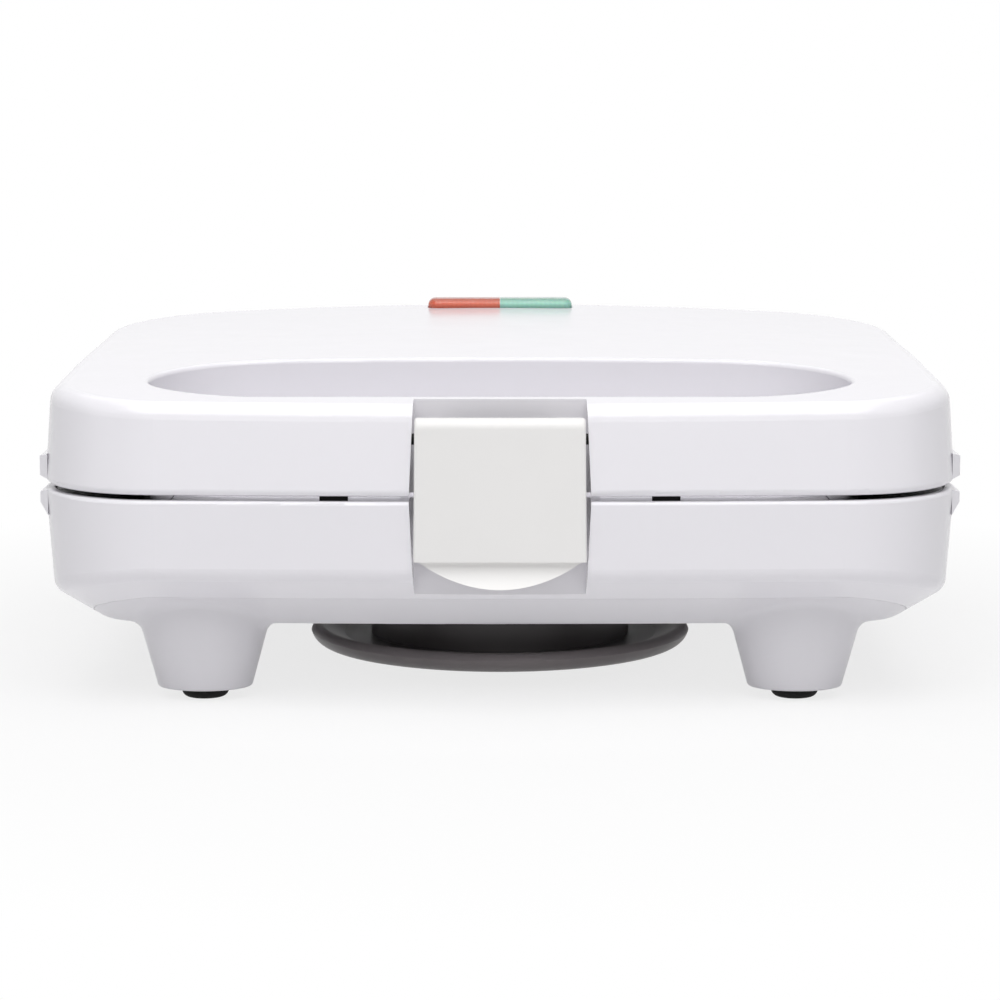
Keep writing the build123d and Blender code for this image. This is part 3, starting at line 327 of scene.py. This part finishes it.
def braided_sleeve(name):
    """Glass-fibre sleeve: two sets of slanted strands over and under each other"""
    board = Board(name)
    hollow = [0.52, 0.49, 0.42, 1.0]
    strand = [0.80, 0.78, 0.70, 1.0]
    x, y, z = board.axes()
    one = ((x + y + z) * STRAND_TURN).sine()
    other = ((x - y + z * 0.6) * STRAND_TURN).sine()
    weave = (one * other).absolute()
    return board.surface({
        "Base Color": board.blend(weave, hollow, strand),
        "Roughness": 0.75 + weave * 0.1,
        "Normal": board.bump(weave, strength=0.6, depth=0.0002),
    })


DISH_SHADE_RADIUS = 0.040     # painted shade up to here
DISH_SHADE_FADE = 0.010       # and over this width the painted shade fades out to full colour


def dish_plastic(name, colour):
    """Dark satin plastic of the cord dish, with faint turning rings, and painted shade on its core that
    fades out towards the lighter rim
    """
    board = Board(name)
    low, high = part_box("cord_wrap")
    x, y, _ = board.axes()
    radius = distance(x - (low.x + high.x) / 2, y - (low.y + high.y) / 2)
    patches = board.noise(30.0, detail=4.0)
    tone = board.blend(patches, shade(colour, 0.9), shade(colour, 1.1))
    # Painted shade: the core is darkened to a quarter of the colour, fading out towards the rim
    tone = board.blend(radius.climb(DISH_SHADE_RADIUS, DISH_SHADE_FADE), shade(colour, 0.25), tone)
    height = radius.stripes(5200.0) * 0.3 + board.noise(2200.0) * 0.7
    return board.surface({
        "Base Color": tone,
        "Roughness": 0.36 + patches * 0.12,
        "Normal": board.bump(height, strength=0.12, depth=0.00006),
        "IOR": 1.5,
    })


def rubber(name):
    """Matt black rubber with bloom and a fine pitted skin"""
    board = Board(name)
    black = [0.008, 0.008, 0.008, 1.0]
    bloomed = [0.018, 0.017, 0.017, 1.0]
    bloom = board.noise(90.0, detail=5.0)
    return board.surface({
        "Base Color": board.blend(bloom, black, bloomed),
        "Roughness": 0.72 + bloom * 0.18,
        "Normal": board.bump(board.noise(3200.0), strength=0.35, depth=0.00008),
        "Specular IOR Level": 0.25,
    })


def drawn_metal(name, colour, roughness):
    """Plated, bright or blackened metal with fine drawn lines and small stains"""
    board = Board(name)
    drawn = board.noise(2000.0, detail=3.0, stretch=(0.15, 1.0, 1.0))
    stain = board.noise(160.0, detail=4.0)
    return board.surface({
        "Base Color": board.blend(stain, shade(colour, 0.82), shade(colour, 1.05)),
        "Metallic": 1.0,
        "Roughness": roughness + drawn * 0.2,
        "Normal": board.bump(drawn, strength=0.2, depth=0.00005),
    })


LENS_SHOWS = 0.0032      # how far a window stands out of the lid's top
LENS_SHADED_END = 0.003         # how long its outer end with painted shade is


def window_plastic(name, colour, glow):
    """Translucent window plastic with moulded prism lines, a painted glow in the middle and painted
    shade at the rim
    """
    board = Board(name)
    x, _, z = board.axes()
    ribs = x.stripes(4200.0)
    cloud = board.noise(210.0, detail=3.0)
    low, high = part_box(name)
    rise = (z - (high.z - LENS_SHOWS)) / LENS_SHOWS
    outer = max(abs(low.x), abs(high.x))
    end = x.absolute().climb(outer - LENS_SHADED_END, LENS_SHADED_END)
    # Painted shade: darker at the top and bottom edges of the window's standing part and at its outer
    # ends
    rim = ((rise - 0.55).absolute() * 2.4 + end * 0.5).at_most(1.0)
    # Painted glow: the middle is made lighter by the glow factor
    core = board.blend(cloud * 0.5 + ribs * 0.2, shade(colour, 0.95), shade(colour, glow))
    return board.surface({
        "Base Color": board.blend(rim, core, shade(colour, 0.62)),
        "Roughness": 0.10 + cloud * 0.12,
        "Normal": board.bump(ribs, strength=0.06, depth=0.0001),
        "IOR": 1.49,
        "Transmission Weight": 0.25,
        "Subsurface Weight": 0.35,
        "Subsurface Radius": (0.004, 0.002, 0.001),
        "Subsurface Scale": 1.0,
    })


def lamp_glass(name):
    """Thin clear lamp glass with drawn streaks"""
    board = Board(name)
    warm = [0.90, 0.86, 0.80, 1.0]
    clear = [1.0, 0.98, 0.95, 1.0]
    streak = board.noise(700.0, stretch=(0.1, 1.0, 1.0))
    return board.surface({
        "Base Color": board.blend(streak, warm, clear),
        "Roughness": 0.03 + streak * 0.08,
        "IOR": 1.45,
        "Transmission Weight": 0.9,
    })


SMOOTH_ANGLE = radians(32.0)


def finish(mesh, material):
    """Gives a mesh one finish, and smooth shading that keeps its real edges"""
    mesh.materials.clear()
    mesh.materials.append(material)
    mesh.polygons.foreach_set("use_smooth", [True] * len(mesh.polygons))
    mesh.set_sharp_from_angle(angle=SMOOTH_ANGLE)
    mesh.update()


def dress(names, material):
    """Gives carried-over pieces a finish"""
    for name in names:
        finish(NODES[name].data, material)


# Mesh building

def piece(name, body, mesh_maker, material):
    """Makes one new piece from a bmesh, gives it its finish and lets it ride on a body"""
    mesh = bpy.data.meshes.new(name)
    work = bmesh.new()
    mesh_maker(work)
    bmesh.ops.recalc_face_normals(work, faces=work.faces)
    work.to_mesh(mesh)
    work.free()
    finish(mesh, material)
    made = bpy.data.objects.new(name, mesh)
    bpy.context.scene.collection.objects.link(made)
    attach(made, body)


def bridge(work, low, high):
    """Joins two rings of as many corners with a band of faces"""
    for i in range(len(low)):
        j = (i + 1) % len(low)
        work.faces.new((low[i], low[j], high[j], high[i]))


def lathe(work, profile, origin, axis, sides):
    """Turns (radius, height) pairs round an axis through origin"""
    turn = Vector((0, 0, 1)).rotation_difference(Vector(axis)).to_matrix()
    rings = []
    for radius, height in profile:
        ring = []
        for i in range(sides):
            angle = tau * i / sides
            point = Vector((radius * cos(angle), radius * sin(angle), height))
            ring.append(work.verts.new(Vector(origin) + turn @ point))
        rings.append(ring)
    for low, high in zip(rings, rings[1:]):
        bridge(work, low, high)
    return rings


def rod(work, radius, start, end, origin, axis, sides):
    """A round rod with flat ends, at two heights along an axis through origin"""
    first, last = lathe(work, [(radius, start), (radius, end)], origin, axis, sides)
    work.faces.new(list(reversed(first)))
    work.faces.new(last)


def slab(work, low, high, bevel):
    """A box with rounded edges"""
    corners = [
        work.verts.new((x, y, z))
        for x in (low[0], high[0]) for y in (low[1], high[1]) for z in (low[2], high[2])
    ]
    faces = [(0, 1, 3, 2), (4, 6, 7, 5), (0, 4, 5, 1), (2, 3, 7, 6), (0, 2, 6, 4), (1, 5, 7, 3)]
    made = [work.faces.new([corners[i] for i in face]) for face in faces]
    edges = list({edge for face in made for edge in face.edges})
    bmesh.ops.bevel(work, geom=edges, offset=bevel, segments=2, affect="EDGES", profile=0.5)


# Settings

class StudioSettings(bpy.types.PropertyGroup):
    """The camera and the lamps"""
    distance: FloatProperty(
        name="Camera distance", description="From the front of the object", default=0.850, unit="LENGTH"
    )
    height: FloatProperty(
        name="Camera height", description="Above the table", default=0.1747, unit="LENGTH"
    )
    pitch: FloatProperty(
        name="Camera pitch", description="How far the camera looks down", default=radians(7.7265),
        subtype="ANGLE",
    )
    lens: FloatProperty(
        name="Lens", description="Focal length in millimetres", default=116.75, unit="CAMERA"
    )
    key: FloatProperty(
        name="Key light", description="Power of the lamp above the front", default=17.6, unit="POWER"
    )
    top: FloatProperty(
        name="Top light", description="Power of the lamp overhead", default=9.4, unit="POWER"
    )
    side: FloatProperty(
        name="Side lights", description="Power of each side lamp", default=1.25, unit="POWER"
    )
    low: FloatProperty(
        name="Low light", description="Power of the lamp low in front", default=1.4, unit="POWER"
    )
    back: FloatProperty(
        name="Back light", description="Power of the lamp behind", default=2.8, unit="POWER"
    )
    room: FloatProperty(
        name="Room light", description="Strength of the pale surroundings", default=0.04
    )


class BodySettings(bpy.types.PropertyGroup):
    """The colours of the outer pieces"""
    shell: FloatVectorProperty(
        name="Shell", description="Colour of the moulded shells", default=(0.86, 0.845, 0.885),
        subtype="COLOR", size=3, min=0.0, max=1.0,
    )
    latch: FloatVectorProperty(
        name="Latch", description="Colour of the latch", default=(0.85, 0.84, 0.83),
        subtype="COLOR", size=3, min=0.0, max=1.0,
    )
    dish: FloatVectorProperty(
        name="Cord dish", description="Colour of the cord wrap", default=(0.24, 0.216, 0.220),
        subtype="COLOR", size=3, min=0.0, max=1.0,
    )
    red: FloatVectorProperty(
        name="Red window", description="Colour of the red indicator", default=(0.85, 0.17, 0.09),
        subtype="COLOR", size=3, min=0.0, max=1.0,
    )
    green: FloatVectorProperty(
        name="Green window", description="Colour of the green indicator", default=(0.40, 0.78, 0.64),
        subtype="COLOR", size=3, min=0.0, max=1.0,
    )


class SandwichMakerSettings(bpy.types.PropertyGroup):
    """Everything that a user would change"""
    studio: PointerProperty(type=StudioSettings)
    body: PointerProperty(type=BodySettings)


# Studio

WHITE = [1.0, 1.0, 1.0, 1.0]
LIT_POINT = Vector((0.0, 0.0, 0.05))     # where every lamp points
LAMPS = (                                # name, place, width and height, setting that holds its power
    ("key_lamp", (0.0, -0.95, 1.35), (1.7, 1.0), "key"),
    ("left_lamp", (-1.25, -0.55, 0.55), (0.7, 1.1), "side"),
    ("right_lamp", (1.25, -0.55, 0.55), (0.7, 1.1), "side"),
    ("top_lamp", (0.0, -0.1, 1.5), (1.5, 1.2), "top"),
    ("low_lamp", (0.0, -1.25, 0.36), (1.4, 0.4), "low"),
    ("back_lamp", (0.0, 1.05, 1.35), (1.6, 0.7), "back"),
)
TABLE_HALF = 4.0
TABLE_WHITENESS = 0.78   # how far the table is shown as pure white under the object
SHADOW_REACH = 0.16      # from here outwards the table fades to all white
SHADOW_FADE = 0.16


class SANDWICH_OT_studio(bpy.types.Operator):
    """Camera, soft lamps, pale surroundings and the table top"""
    bl_idname = "sandwich.studio"
    bl_label = "Studio"

    def execute(self, context):
        values = settings().studio
        context.scene.view_settings.view_transform = "Standard"
        self.camera(context, values)
        for lamp in LAMPS:
            self.lamp(context, values, *lamp)
        self.surroundings(context, values.room)
        self.table(context)
        return {"FINISHED"}

    @staticmethod
    def camera(context, values):
        """A level camera straight in front of the object, looking a little down"""
        data = bpy.data.cameras.new("camera")
        data.sensor_width = 36.0
        data.lens = values.lens
        data.clip_start = 0.05
        data.clip_end = 50.0
        camera = bpy.data.objects.new("camera", data)
        camera.location = (0.0, -CENTRE_Y - values.distance, values.height)
        camera.rotation_euler = (pi / 2 - values.pitch, 0.0, 0.0)
        context.scene.collection.objects.link(camera)
        context.scene.camera = camera

    @staticmethod
    def lamp(context, values, name, place, size, setting):
        """One soft rectangular lamp that points at the object"""
        data = bpy.data.lights.new(name, "AREA")
        data.shape = "RECTANGLE"
        data.size, data.size_y = size
        data.energy = getattr(values, setting)
        holder = bpy.data.objects.new(name, data)
        holder.location = place
        holder.rotation_euler = (LIT_POINT - Vector(place)).to_track_quat("-Z", "Y").to_euler()
        context.scene.collection.objects.link(holder)

    @staticmethod
    def surroundings(context, strength):
        """A pale room that the camera and reflections see as white"""
        board = Board("room", "worlds")
        seen = board.outright()
        level = seen + (1.0 - seen) * strength
        glow = board.node("ShaderNodeBackground", None, {"Color": WHITE, "Strength": level})
        board.node("ShaderNodeOutputWorld", None, {"Surface": glow})
        context.scene.world = board.owner

    @staticmethod
    def table(context):
        """A wide white table top that keeps the object's shadow"""
        half = TABLE_HALF
        mesh = bpy.data.meshes.new("table_top")
        corners = [(-half, -half, 0), (half, -half, 0), (half, half, 0), (-half, half, 0)]
        mesh.from_pydata(corners, [], [(0, 1, 2, 3)])
        top = bpy.data.objects.new("table_top", mesh)
        context.scene.collection.objects.link(top)
        board = Board("table_white")
        x, y, _ = board.axes()
        far = distance(x, y).climb(SHADOW_REACH, SHADOW_FADE)
        fade = far * (1.0 - TABLE_WHITENESS) + TABLE_WHITENESS
        tone = board.blend(board.noise(3.0), [0.81, 0.81, 0.82, 1.0], [0.83, 0.83, 0.83, 1.0])
        lit = board.node("ShaderNodeBsdfDiffuse", None, {"Color": tone})
        white = board.node("ShaderNodeEmission", None, {"Color": WHITE, "Strength": 1.0})
        shown = board.node("ShaderNodeMixShader", None, {0: board.outright() * fade, 1: lit, 2: white})
        board.node("ShaderNodeOutputMaterial", None, {"Surface": shown})
        mesh.materials.append(board.owner)


# Shells, latch and cooking plates

class SANDWICH_OT_shells(bpy.types.Operator):
    """Glossy white finish of the two housings, and of the bottom cover with painted shade"""
    bl_idname = "sandwich.shells"
    bl_label = "White shells"

    def execute(self, context):
        colour = list(settings().body.shell)
        dress(["lid_shell"], moulded_gloss("lid_white", colour, roughness=0.20, peel=0.05))
        dress(["base_shell"], moulded_gloss("base_white", colour, roughness=0.21, peel=0.05))
        # Painted shade: the bottom cover and its feet get the shell's white made darker, for the shade
        # under the body
        cover = moulded_gloss("cover_white", shade(colour, 0.93), roughness=0.30, peel=0.06)
        dress(["bottom_cover"], cover)
        return {"FINISHED"}


class SANDWICH_OT_latch(bpy.types.Operator):
    """Satin warm white finish of the latch"""
    bl_idname = "sandwich.latch"
    bl_label = "Latch"

    def execute(self, context):
        colour = list(settings().body.latch)
        dress(["latch"], satin_plastic("latch_white", colour, roughness=0.42, grain=0.10))
        return {"FINISHED"}


class SANDWICH_OT_cooking(bpy.types.Operator):
    """Black inner covers and the coated cooking plates"""
    bl_idname = "sandwich.cooking"
    bl_label = "Cooking plates"

    def execute(self, context):
        dress(["base_inner_cover", "lid_inner_cover"], cover_black("inner_black"))
        dress(["lower_plate", "upper_plate"], non_stick("plate_coating"))
        return {"FINISHED"}


# Indicator windows and lamps

ELECTRODE_RADIUS = 0.00025
ELECTRODE_OFFSET = 0.0007    # of each electrode from the lamp's axis
ELECTRODE_REACH = 0.36       # to each side of the lamp's middle, as a share of its length


class SANDWICH_OT_windows(bpy.types.Operator):
    """Red and green indicator windows, lamps and their holder"""
    bl_idname = "sandwich.windows"
    bl_label = "Indicator windows"

    def execute(self, context):
        values = settings().body
        # glow: how much lighter each window's middle is painted, a painted glow
        dress(["red_lens"], window_plastic("red_lens", list(values.red), glow=1.35))
        dress(["green_lens"], window_plastic("green_lens", list(values.green), glow=1.2))
        dress(["red_lamp", "green_lamp"], lamp_glass("lamp_clear"))
        holder = satin_plastic("holder_white", [0.80, 0.79, 0.75], roughness=0.5, grain=0.2)
        dress(["lamp_holder"], holder)
        wires = drawn_metal("electrode_metal", [0.60, 0.58, 0.54], roughness=0.3)
        for name in ("red_lamp", "green_lamp"):
            piece(name + "_wires", "lid", lambda work: electrodes(work, name), wires)
        return {"FINISHED"}


def electrodes(work, lamp):
    """Two thin wires side by side inside a lamp's glass"""
    low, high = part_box(lamp)
    middle = (low + high) / 2
    reach = (high.x - low.x) * ELECTRODE_REACH
    for side in (-1, 1):
        start = (middle.x - reach, middle.y + side * ELECTRODE_OFFSET, middle.z)
        rod(work, ELECTRODE_RADIUS, 0.0, 2 * reach, start, (1, 0, 0), sides=10)


# Underside

UNDERSIDE_Z = 0.021
LABEL_HALF_WIDTH = 0.021
LABEL_DEPTH = 0.010
LABEL_GAP = 0.0035           # between the cord dish and the rating plate
LABEL_FACE = 0.00018         # how far the plate's outer face stands below the underside
LABEL_BACK = 0.00002
LABEL_BEVEL = 0.00004


class SANDWICH_OT_underside(bpy.types.Operator):
    """Cord dish, rubber pads and stops, gland, and a blank rating plate"""
    bl_idname = "sandwich.underside"
    bl_label = "Underside"

    def execute(self, context):
        dress(["cord_wrap"], dish_plastic("dish_grey", list(settings().body.dish)))
        pads = [name for name in NODES if name.endswith("foot_pad")]
        dress(pads + ["stop_pads", "cord_gland"], rubber("black_rubber"))
        foil = rolled_sheet("label_foil", [0.70, 0.71, 0.72], roughness=0.38)
        piece("rating_plate", "base", rating_plate, foil)
        return {"FINISHED"}


def rating_plate(work):
    """A thin blank plate on the bottom cover, behind the cord dish"""
    _, dish_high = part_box("cord_wrap")
    front = dish_high.y + LABEL_GAP
    low = (-LABEL_HALF_WIDTH, front, UNDERSIDE_Z - LABEL_FACE)
    high = (LABEL_HALF_WIDTH, front + LABEL_DEPTH, UNDERSIDE_Z - LABEL_BACK)
    slab(work, low, high, LABEL_BEVEL)


# Heating

PIN_X = 0.018                # of each heater's two cold pins
PIN_TIP_Y = 0.144 - CENTRE_Y
BEAD_SETBACK = 0.0015        # of a bead from its pin's tip
BEAD_SIDES = 20
BEAD_PROFILE = [             # radius and height, from the bore out and back to the bore
    (0.00125, 0.0), (0.0022, 0.0003), (0.0027, 0.0014),
    (0.0027, 0.0026), (0.0022, 0.0037), (0.00125, 0.004),
]


class SANDWICH_OT_heating(bpy.types.Operator):
    """Heaters, clamps and shields, with ceramic beads on the heaters' pins"""
    bl_idname = "sandwich.heating"
    bl_label = "Heating"

    def execute(self, context):
        dress(["lower_heater", "upper_heater"], heater_sheath("heater_steel"))
        sheet = rolled_sheet("shield_sheet", [0.74, 0.75, 0.77], roughness=0.26)
        dress(["lower_heat_shield", "upper_heat_shield"], sheet)
        strap = rolled_sheet("clamp_sheet", [0.66, 0.66, 0.66], roughness=0.32)
        dress(["lower_heater_clamps", "upper_heater_clamps", "thermostat_bracket"], strap)
        bead = porcelain("bead_porcelain")
        for name, body in (("lower_heater", "base"), ("upper_heater", "lid")):
            piece(name + "_beads", body, lambda work: heater_beads(work, name), bead)
        return {"FINISHED"}


def heater_beads(work, heater):
    """A barrel-shaped bead round each cold pin"""
    low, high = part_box(heater)
    z = (low.z + high.z) / 2
    for side in (-1, 1):
        place = (side * PIN_X, PIN_TIP_Y + BEAD_SETBACK, z)
        rings = lathe(work, BEAD_PROFILE, place, (0, 1, 0), BEAD_SIDES)
        bridge(work, rings[-1], rings[0])


# Controls and leads

TERMINALS = 3
TERMINAL_DEPTH = 0.0036      # of a terminal screw's seat below the block's top
HEAD_RADIUS = 0.0014
HEAD_HEIGHT = 0.0024
HALF_SLOT = 0.00022
HALF_HEAD_STEPS = 10
CORE_SHARE = 0.98            # of the head's radius, for the core below the slot
CORE_LOW = -0.0004
CORE_TOP = 0.55              # as a share of the head's height
TAB_X = 0.004                # of each thermostat tab
CONNECTOR_INNER = 0.00045    # from a tab's middle to its connector's inner face
CONNECTOR_OUTER = 0.00095
CONNECTOR_HALF_WIDTH = 0.0019
CONNECTOR_LOW = 0.0002       # above the tab's tip
CONNECTOR_TOP = 0.0026
CONNECTOR_BEVEL = 0.0001


class SANDWICH_OT_controls(bpy.types.Operator):
    """Thermostat, fuse, terminal block with brass screws, connectors and leads"""
    bl_idname = "sandwich.controls"
    bl_label = "Controls and leads"

    def execute(self, context):
        dress(["thermostat"], thermostat_finish("thermostat_two_tone"))
        dress(["thermal_fuse"], drawn_metal("fuse_metal", [0.72, 0.66, 0.46], roughness=0.28))
        dress(["terminal_block"], porcelain("block_porcelain"))
        dress(["base_wiring", "lid_wiring"], braided_sleeve("lead_braid"))
        brass = drawn_metal("brass", [0.78, 0.60, 0.28], roughness=0.25)
        piece("terminal_screws", "base", terminal_screws, brass)
        piece("tab_connectors", "base", tab_connectors, brass)
        return {"FINISHED"}


def terminal_screws(work):
    """A slotted brass screw down each well of the terminal block"""
    low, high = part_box("terminal_block")
    pitch = (high.x - low.x) / TERMINALS
    y = (low.y + high.y) / 2
    for i in range(TERMINALS):
        slotted_head(work, low.x + pitch * (i + 0.5), y, high.z - TERMINAL_DEPTH)


def slotted_head(work, x, y, z):
    """A screw head made of two half discs with a slot between, on a round core"""
    for side in (-1, 1):
        outline = []
        for i in range(HALF_HEAD_STEPS + 1):
            angle = pi * i / HALF_HEAD_STEPS
            bulge = HALF_SLOT + (HEAD_RADIUS - HALF_SLOT) * sin(angle)
            outline.append((x + HEAD_RADIUS * cos(angle), y + side * bulge))
        low = [work.verts.new((a, b, z)) for a, b in outline]
        high = [work.verts.new((a, b, z + HEAD_HEIGHT)) for a, b in outline]
        work.faces.new(low)
        work.faces.new(high)
        bridge(work, low, high)
    top = HEAD_HEIGHT * CORE_TOP
    rod(work, HEAD_RADIUS * CORE_SHARE, CORE_LOW, top, (x, y, z), (0, 0, 1), sides=20)


def tab_connectors(work):
    """The two leaves of a push-on connector, on both sides of each thermostat tab"""
    low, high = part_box("thermostat")
    middle = (low.y + high.y) / 2
    for x in (-TAB_X, TAB_X):
        for face in (-1, 1):
            near, far = sorted((middle + face * CONNECTOR_INNER, middle + face * CONNECTOR_OUTER))
            lowest = (x - CONNECTOR_HALF_WIDTH, near, low.z + CONNECTOR_LOW)
            highest = (x + CONNECTOR_HALF_WIDTH, far, low.z + CONNECTOR_TOP)
            slab(work, lowest, highest, CONNECTOR_BEVEL)


# Screws and pins

class SANDWICH_OT_fasteners(bpy.types.Operator):
    """Zinc-plated screws, bright hinge pins, and a near-black latch pin that paints the shade in the
    slits beside the latch
    """
    bl_idname = "sandwich.fasteners"
    bl_label = "Screws and pins"

    def execute(self, context):
        zinc = drawn_metal("zinc_plate", [0.60, 0.61, 0.63], roughness=0.28)
        dress([name for name in NODES if name.endswith("screws")], zinc)
        bright = drawn_metal("bright_steel", [0.66, 0.66, 0.67], roughness=0.18)
        dress(["left_hinge_pin", "right_hinge_pin"], bright)
        # Painted shade: the latch pin is made near black for the dark slits beside the latch
        dress(["latch_pin"], drawn_metal("blackened_steel", [0.035, 0.034, 0.034], roughness=0.45))
        return {"FINISHED"}


# Add-on

class SANDWICH_PT_panel(bpy.types.Panel):
    """Lists the settings and the steps in the 3D view's sidebar"""
    bl_idname = "SANDWICH_PT_panel"
    bl_label = "Sandwich Maker"
    bl_space_type = "VIEW_3D"
    bl_region_type = "UI"
    bl_category = "Sandwich Maker"

    def draw(self, context):
        values = context.scene.sandwich_maker
        for group in (values.studio, values.body):
            column = self.layout.column(align=True)
            for name in group.__annotations__:
                column.prop(group, name)
        for step in STEPS:
            self.layout.operator(step.bl_idname)


STEPS = (
    SANDWICH_OT_studio,
    SANDWICH_OT_shells,
    SANDWICH_OT_latch,
    SANDWICH_OT_cooking,
    SANDWICH_OT_windows,
    SANDWICH_OT_underside,
    SANDWICH_OT_heating,
    SANDWICH_OT_controls,
    SANDWICH_OT_fasteners,
)
CLASSES = (StudioSettings, BodySettings, SandwichMakerSettings) + STEPS + (SANDWICH_PT_panel,)


def register():
    for cls in CLASSES:
        bpy.utils.register_class(cls)
    bpy.types.Scene.sandwich_maker = PointerProperty(type=SandwichMakerSettings)


def unregister():
    del bpy.types.Scene.sandwich_maker
    for cls in reversed(CLASSES):
        bpy.utils.unregister_class(cls)


def main():
    register()
    for step in STEPS:
        group, name = step.bl_idname.split(".")
        getattr(getattr(bpy.ops, group), name)()


if __name__ == "__main__":
    main()
